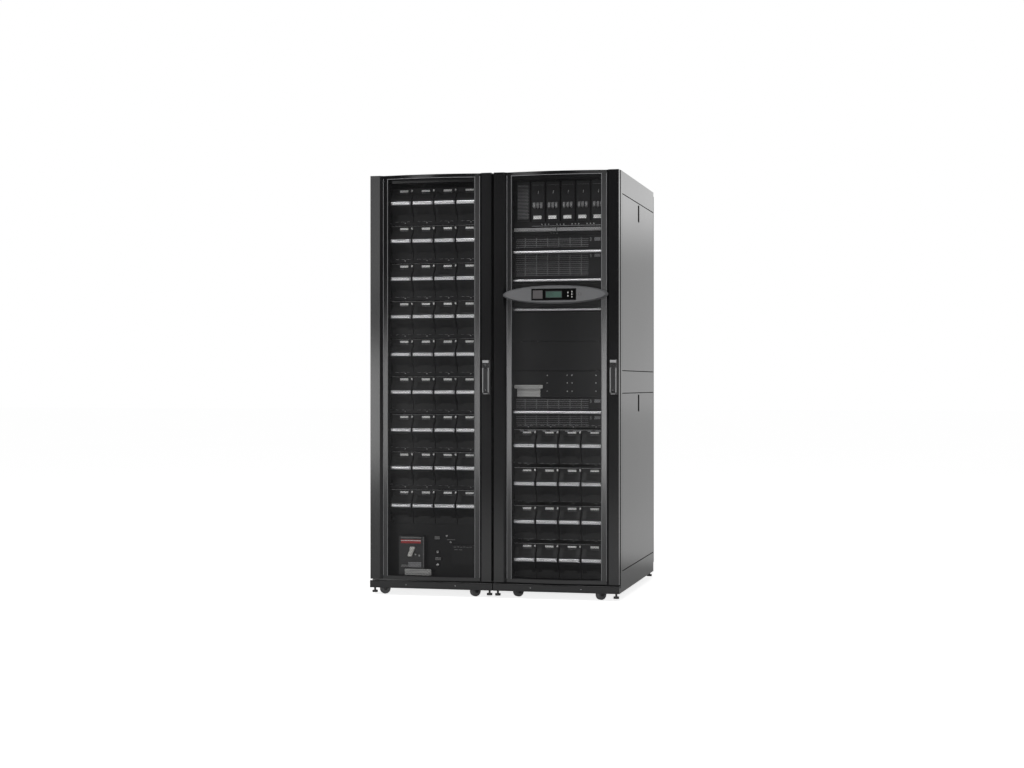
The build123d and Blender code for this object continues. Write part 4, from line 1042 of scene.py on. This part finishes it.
class UPSCABINET_OT_enclosure_trim(bpy.types.Operator):
    """Adds screws, plinth lips, rear hinges, roof brushes, latch springs and caster caps"""
    bl_idname = "upscabinet.enclosure_trim"
    bl_label = "Enclosure Trim"

    def execute(self, context):
        screws, lip, brush, hinges, springs = shapes(5)
        plinth_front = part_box("plinths")[0].y
        plinth_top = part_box("plinths")[1].z
        plinth_screw_height, roof_screw_out, roof_screw_in = 0.053, 0.27, 0.03
        for bay in bay_centres:
            for off in (-0.12, 0.12):
                screws.screw(bay + off, plinth_front + 0.0011, plinth_screw_height, 0.0032)
            lip.turned((bay, plinth_front + 0.0014, plinth_top - 0.0031), 0,
                       [(-0.292, 0.0026), (-0.2915, 0.003), (0.2915, 0.003), (0.292, 0.0026)], 20)
        slot_rear, slot_half = 0.155, 0.04
        for low, high in from_left("roofs"):
            x = (low.x + high.x) / 2
            self.brushes(brush, x, high.y - slot_rear - slot_half, high.z)
            for way in (-1, 1):
                for y in (low.y + roof_screw_in, high.y - roof_screw_in):
                    screws.turned((x + way * roof_screw_out, y, high.z - 0.0012), 2,
                                  [(0, 0.004), (0.0006, 0.004), (0.0011, 0.0025)], 16)
        hinge_heights = (0.25, 1.03, 1.8)
        for n, (low, high) in enumerate(from_left("rear_doors")):
            edge, way = (high.x, -1) if n % 2 else (low.x, 1)
            for z in hinge_heights:
                hinges.turned((edge + way * 0.0075, high.y - 0.0065, z), 2,
                              [(-0.03, 0.0046), (-0.03, 0.006), (0.03, 0.006), (0.03, 0.0046)], 18)
                hinges.block((edge + way * 0.008, high.y - 0.0018, z - 0.024),
                             (edge + way * 0.03, high.y - 0.0002, z + 0.024), 0.0004)
        for low, high in solids("panel_latches"):
            outer, way = (high.x, 1) if high.x > 0 else (low.x, -1)
            _, y, z = centre_of(low, high)
            springs.prism([(y - 0.0045, z - 0.02), (y + 0.0045, z - 0.02), (y + 0.0045, z + 0.022), (y, z + 0.028),
                           (y - 0.0045, z + 0.022)], 0, outer, outer + way * 0.0022)
        pieces("cabinet", (
            ("plinth_lips", "black_paint", "Powder_Black", lip, rounding),
            ("case_screws", "zinc", "Screw_Steel", screws, rounding),
            ("roof_brushes", "dark_plastic", "Brush_Bristle", brush),
            ("rear_hinges", "black_paint", "Powder_Black", hinges),
            ("latch_springs", "dark_plastic", "Seal_Black", springs),
        ))
        for k in range(1, 5):
            low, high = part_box("front_wheel_%d" % k)
            joint = next(j for j in frame["joints"] if j["child"] == "wheel_%d" % k)
            self.hub("wheel_%d" % k, (low + high) / 2, Vector(joint["axis"]).normalized())
        return {"FINISHED"}

    def brushes(self, shape, x, y, top):
        """Two rows of tufts that meet unevenly over a cable slot."""
        tufts, pitch, width, root = 100, 0.003, 0.0024, 0.0385
        for k in range(tufts):
            left = x - 0.1485 + k * pitch
            reach = 0.001 + 0.0012 * (k * 7 % 5) / 5
            for way in (-1, 1):
                shape.block((left, y + way * root, top - 0.0026), (left + width, y + way * reach, top - 0.0008),
                            0.0004)

    def hub(self, body, centre, axis):
        """Stepped discs on both faces of a caster wheel."""
        shape = Shape()
        for way in (-1, 1):
            shape.turned((way * 0.0096, 0, 0), 0, [(0, 0.015), (way * 0.0012, 0.015), (way * 0.0012, 0.012),
                                                   (way * 0.0002, 0.0112)], 28)
        turn = Vector((1, 0, 0)).rotation_difference(axis).to_matrix()
        shape.corners = [tuple(turn @ Vector(c) + centre) for c in shape.corners]
        piece(body, body + "_caps", "wheel_rubber", "Satin_Grey", shape)


class UPSCABINET_OT_stage(bpy.types.Operator):
    """Sets the floor, the lamps, the surroundings and the camera"""
    bl_idname = "upscabinet.stage"
    bl_label = "Stage"

    floor_reach = 60.0

    def execute(self, context):
        s = context.scene.ups_cabinet_stage
        scene = context.scene
        reach = self.floor_reach
        floor_mesh = bpy.data.meshes.new("floor")
        floor_mesh.from_pydata([(-reach, -reach, 0), (reach, -reach, 0), (reach, reach, 0), (-reach, reach, 0)], [],
                               [(0, 1, 2, 3)])
        floor = bpy.data.objects.new("floor", floor_mesh)
        scene.collection.objects.link(floor)
        floor_mesh.materials.append(self.floor_finish(s.floor_glow))
        self.surroundings(scene, s.ambient)
        for name, place, aim, size, power in (
            ("softbox_left", (-3.25, -6.0, 0.8), (-0.3, -0.5, 0.9), (2.5, 1.1), 45.0),
            ("softbox_left_high", (-2.3, -6.0, 2.3), (-0.3, -0.5, 1.2), (1.0, 1.4), 9.0),
            ("softbox_middle", (0.45, -6.3, 0.8), (0.0, -0.5, 0.9), (0.6, 1.1), 12.0),
            ("softbox_right", (1.75, -6.3, 0.8), (0.3, -0.5, 0.9), (1.5, 1.2), 42.0),
            ("softbox_right_high", (1.3, -6.3, 2.15), (0.3, -0.5, 1.2), (2.3, 1.2), 12.0),
            ("overhead", (0.0, -2.6, 4.4), (0, 0, 1.0), (3.0, 1.6), 90.0),
        ):
            data = bpy.data.lights.new(name, "AREA")
            data.shape = "RECTANGLE"
            data.size, data.size_y = size
            data.energy = power
            lamp = bpy.data.objects.new(name, data)
            lamp.location = place
            lamp.rotation_euler = (Vector(aim) - Vector(place)).to_track_quat("-Z", "Y").to_euler()
            scene.collection.objects.link(lamp)
        lens = bpy.data.cameras.new("camera")
        lens.lens = s.focal_length
        lens.sensor_width = 36.0
        lens.clip_end = 200.0
        camera = bpy.data.objects.new("camera", lens)
        camera.location = (1.979, -8.494, 1.002)
        camera.rotation_euler = (math.radians(90), 0, math.radians(13.32))
        scene.collection.objects.link(camera)
        scene.camera = camera
        scene.view_settings.view_transform = "Standard"
        return {"FINISHED"}

    def seen(self, tree, path):
        """A mask for what the camera sees straight or through glass."""
        return math_node(tree, "MAXIMUM", path["Is Camera Ray"], path["Is Transmission Ray"])

    def floor_finish(self, glow):
        """A pale floor that glows for the camera and shows in reflections in front of and behind the cabinets."""
        reach = self.floor_reach
        made = bpy.data.materials.new("Pale_Floor")
        made.use_nodes = True
        tree = made.node_tree
        tree.nodes.clear()
        surface = placed_group(tree, "Surface_Grain", Size=0.02, Mottle_Size=2.0)
        tone = mixed(tree, surface.outputs["Mottle"], (0.84, 0.84, 0.84, 1), (0.88, 0.88, 0.88, 1))
        plain = node_of(tree, "ShaderNodeBsdfDiffuse", Color=tone)
        path = tree.nodes.new("ShaderNodeLightPath").outputs
        near = ramp_node(tree, parts_of(tree, place_of(tree))["Y"], (
            (-reach, 0.03), (-8.0, 0.04), (-4.0, 0.45), (-1.2, 0.5), (-0.8, 0.05), (0.9, 0.05), (1.7, 0.38),
            (reach, 0.42)))
        shown = math_node(tree, "MULTIPLY", self.seen(tree, path), glow)
        mirrored = math_node(tree, "MULTIPLY", path["Is Glossy Ray"], near)
        light = node_of(tree, "ShaderNodeEmission", Strength=math_node(tree, "ADD", shown, mirrored))
        both = tree.nodes.new("ShaderNodeAddShader")
        wire(tree, plain.outputs[0], both.inputs[0])
        wire(tree, light.outputs[0], both.inputs[1])
        node_of(tree, "ShaderNodeOutputMaterial", Surface=both.outputs[0])
        return made

    def surroundings(self, scene, ambient):
        """White for the camera, white behind the cabinets in reflections, dim in front of them."""
        world = bpy.data.worlds.new("surroundings")
        scene.world = world
        world.use_nodes = True
        tree = world.node_tree
        tree.nodes.clear()
        path = tree.nodes.new("ShaderNodeLightPath").outputs
        place = parts_of(tree, place_of(tree, "Generated"))
        behind = ramp_node(tree, place["Y"], ((-1.0, 0.02), (-0.2, 0.02), (0.3, 1.0), (1.0, 1.0)))
        height = ramp_node(tree, place["Z"], (
            (-1.0, 0.6), (0.0, 0.72), (0.03, 0.66), (0.072, 0.6), (0.098, 1.3), (0.13, 1.15), (1.0, 0.9)))
        level = math_node(tree, "MULTIPLY", behind, height)
        level = mixed(tree, path["Is Glossy Ray"], ambient, level, "FLOAT")
        level = mixed(tree, self.seen(tree, path), level, 1.0, "FLOAT")
        back = node_of(tree, "ShaderNodeBackground", Color=(1.0, 1.0, 1.0, 1.0), Strength=level)
        node_of(tree, "ShaderNodeOutputWorld", Surface=back.outputs[0])


class UPSCABINET_PT_sidebar(bpy.types.Panel):
    """Lists the steps that dress the cabinet, with their settings"""
    bl_idname = "UPSCABINET_PT_sidebar"
    bl_label = "UPS Cabinet"
    bl_space_type = "VIEW_3D"
    bl_region_type = "UI"
    bl_category = "UPS Cabinet"

    def draw(self, context):
        for step in steps:
            self.layout.operator(step.bl_idname)
        for key in settings:
            group = getattr(context.scene, key)
            shown = self.layout.box()
            for name in group.__annotations__:
                shown.prop(group, name)


settings = {
    "ups_cabinet_finishes": UPSCABINET_PG_finishes,
    "ups_cabinet_doors": UPSCABINET_PG_doors,
    "ups_cabinet_fronts": UPSCABINET_PG_fronts,
    "ups_cabinet_stage": UPSCABINET_PG_stage,
}
steps = (
    UPSCABINET_OT_finishes,
    UPSCABINET_OT_stage,
    UPSCABINET_OT_door_meshes,
    UPSCABINET_OT_bars,
    UPSCABINET_OT_side_skins,
    UPSCABINET_OT_battery_fronts,
    UPSCABINET_OT_grilles,
    UPSCABINET_OT_panel_details,
    UPSCABINET_OT_distribution,
    UPSCABINET_OT_display,
    UPSCABINET_OT_handles,
    UPSCABINET_OT_enclosure_trim,
)
classes = tuple(settings.values()) + steps + (UPSCABINET_PT_sidebar,)


def register():
    for made in classes:
        bpy.utils.register_class(made)
    for key, group in settings.items():
        setattr(bpy.types.Scene, key, bpy.props.PointerProperty(type=group))


def unregister():
    for key in settings:
        delattr(bpy.types.Scene, key)
    for made in reversed(classes):
        bpy.utils.unregister_class(made)


def main():
    register()
    bpy.ops.upscabinet.finishes()
    bpy.ops.upscabinet.stage()
    bpy.ops.upscabinet.door_meshes()
    bpy.ops.upscabinet.bars()
    bpy.ops.upscabinet.side_skins()
    bpy.ops.upscabinet.battery_fronts()
    bpy.ops.upscabinet.grilles()
    bpy.ops.upscabinet.panel_details()
    bpy.ops.upscabinet.distribution()
    bpy.ops.upscabinet.display()
    bpy.ops.upscabinet.handles()
    bpy.ops.upscabinet.enclosure_trim()


if __name__ == "__main__":
    main()
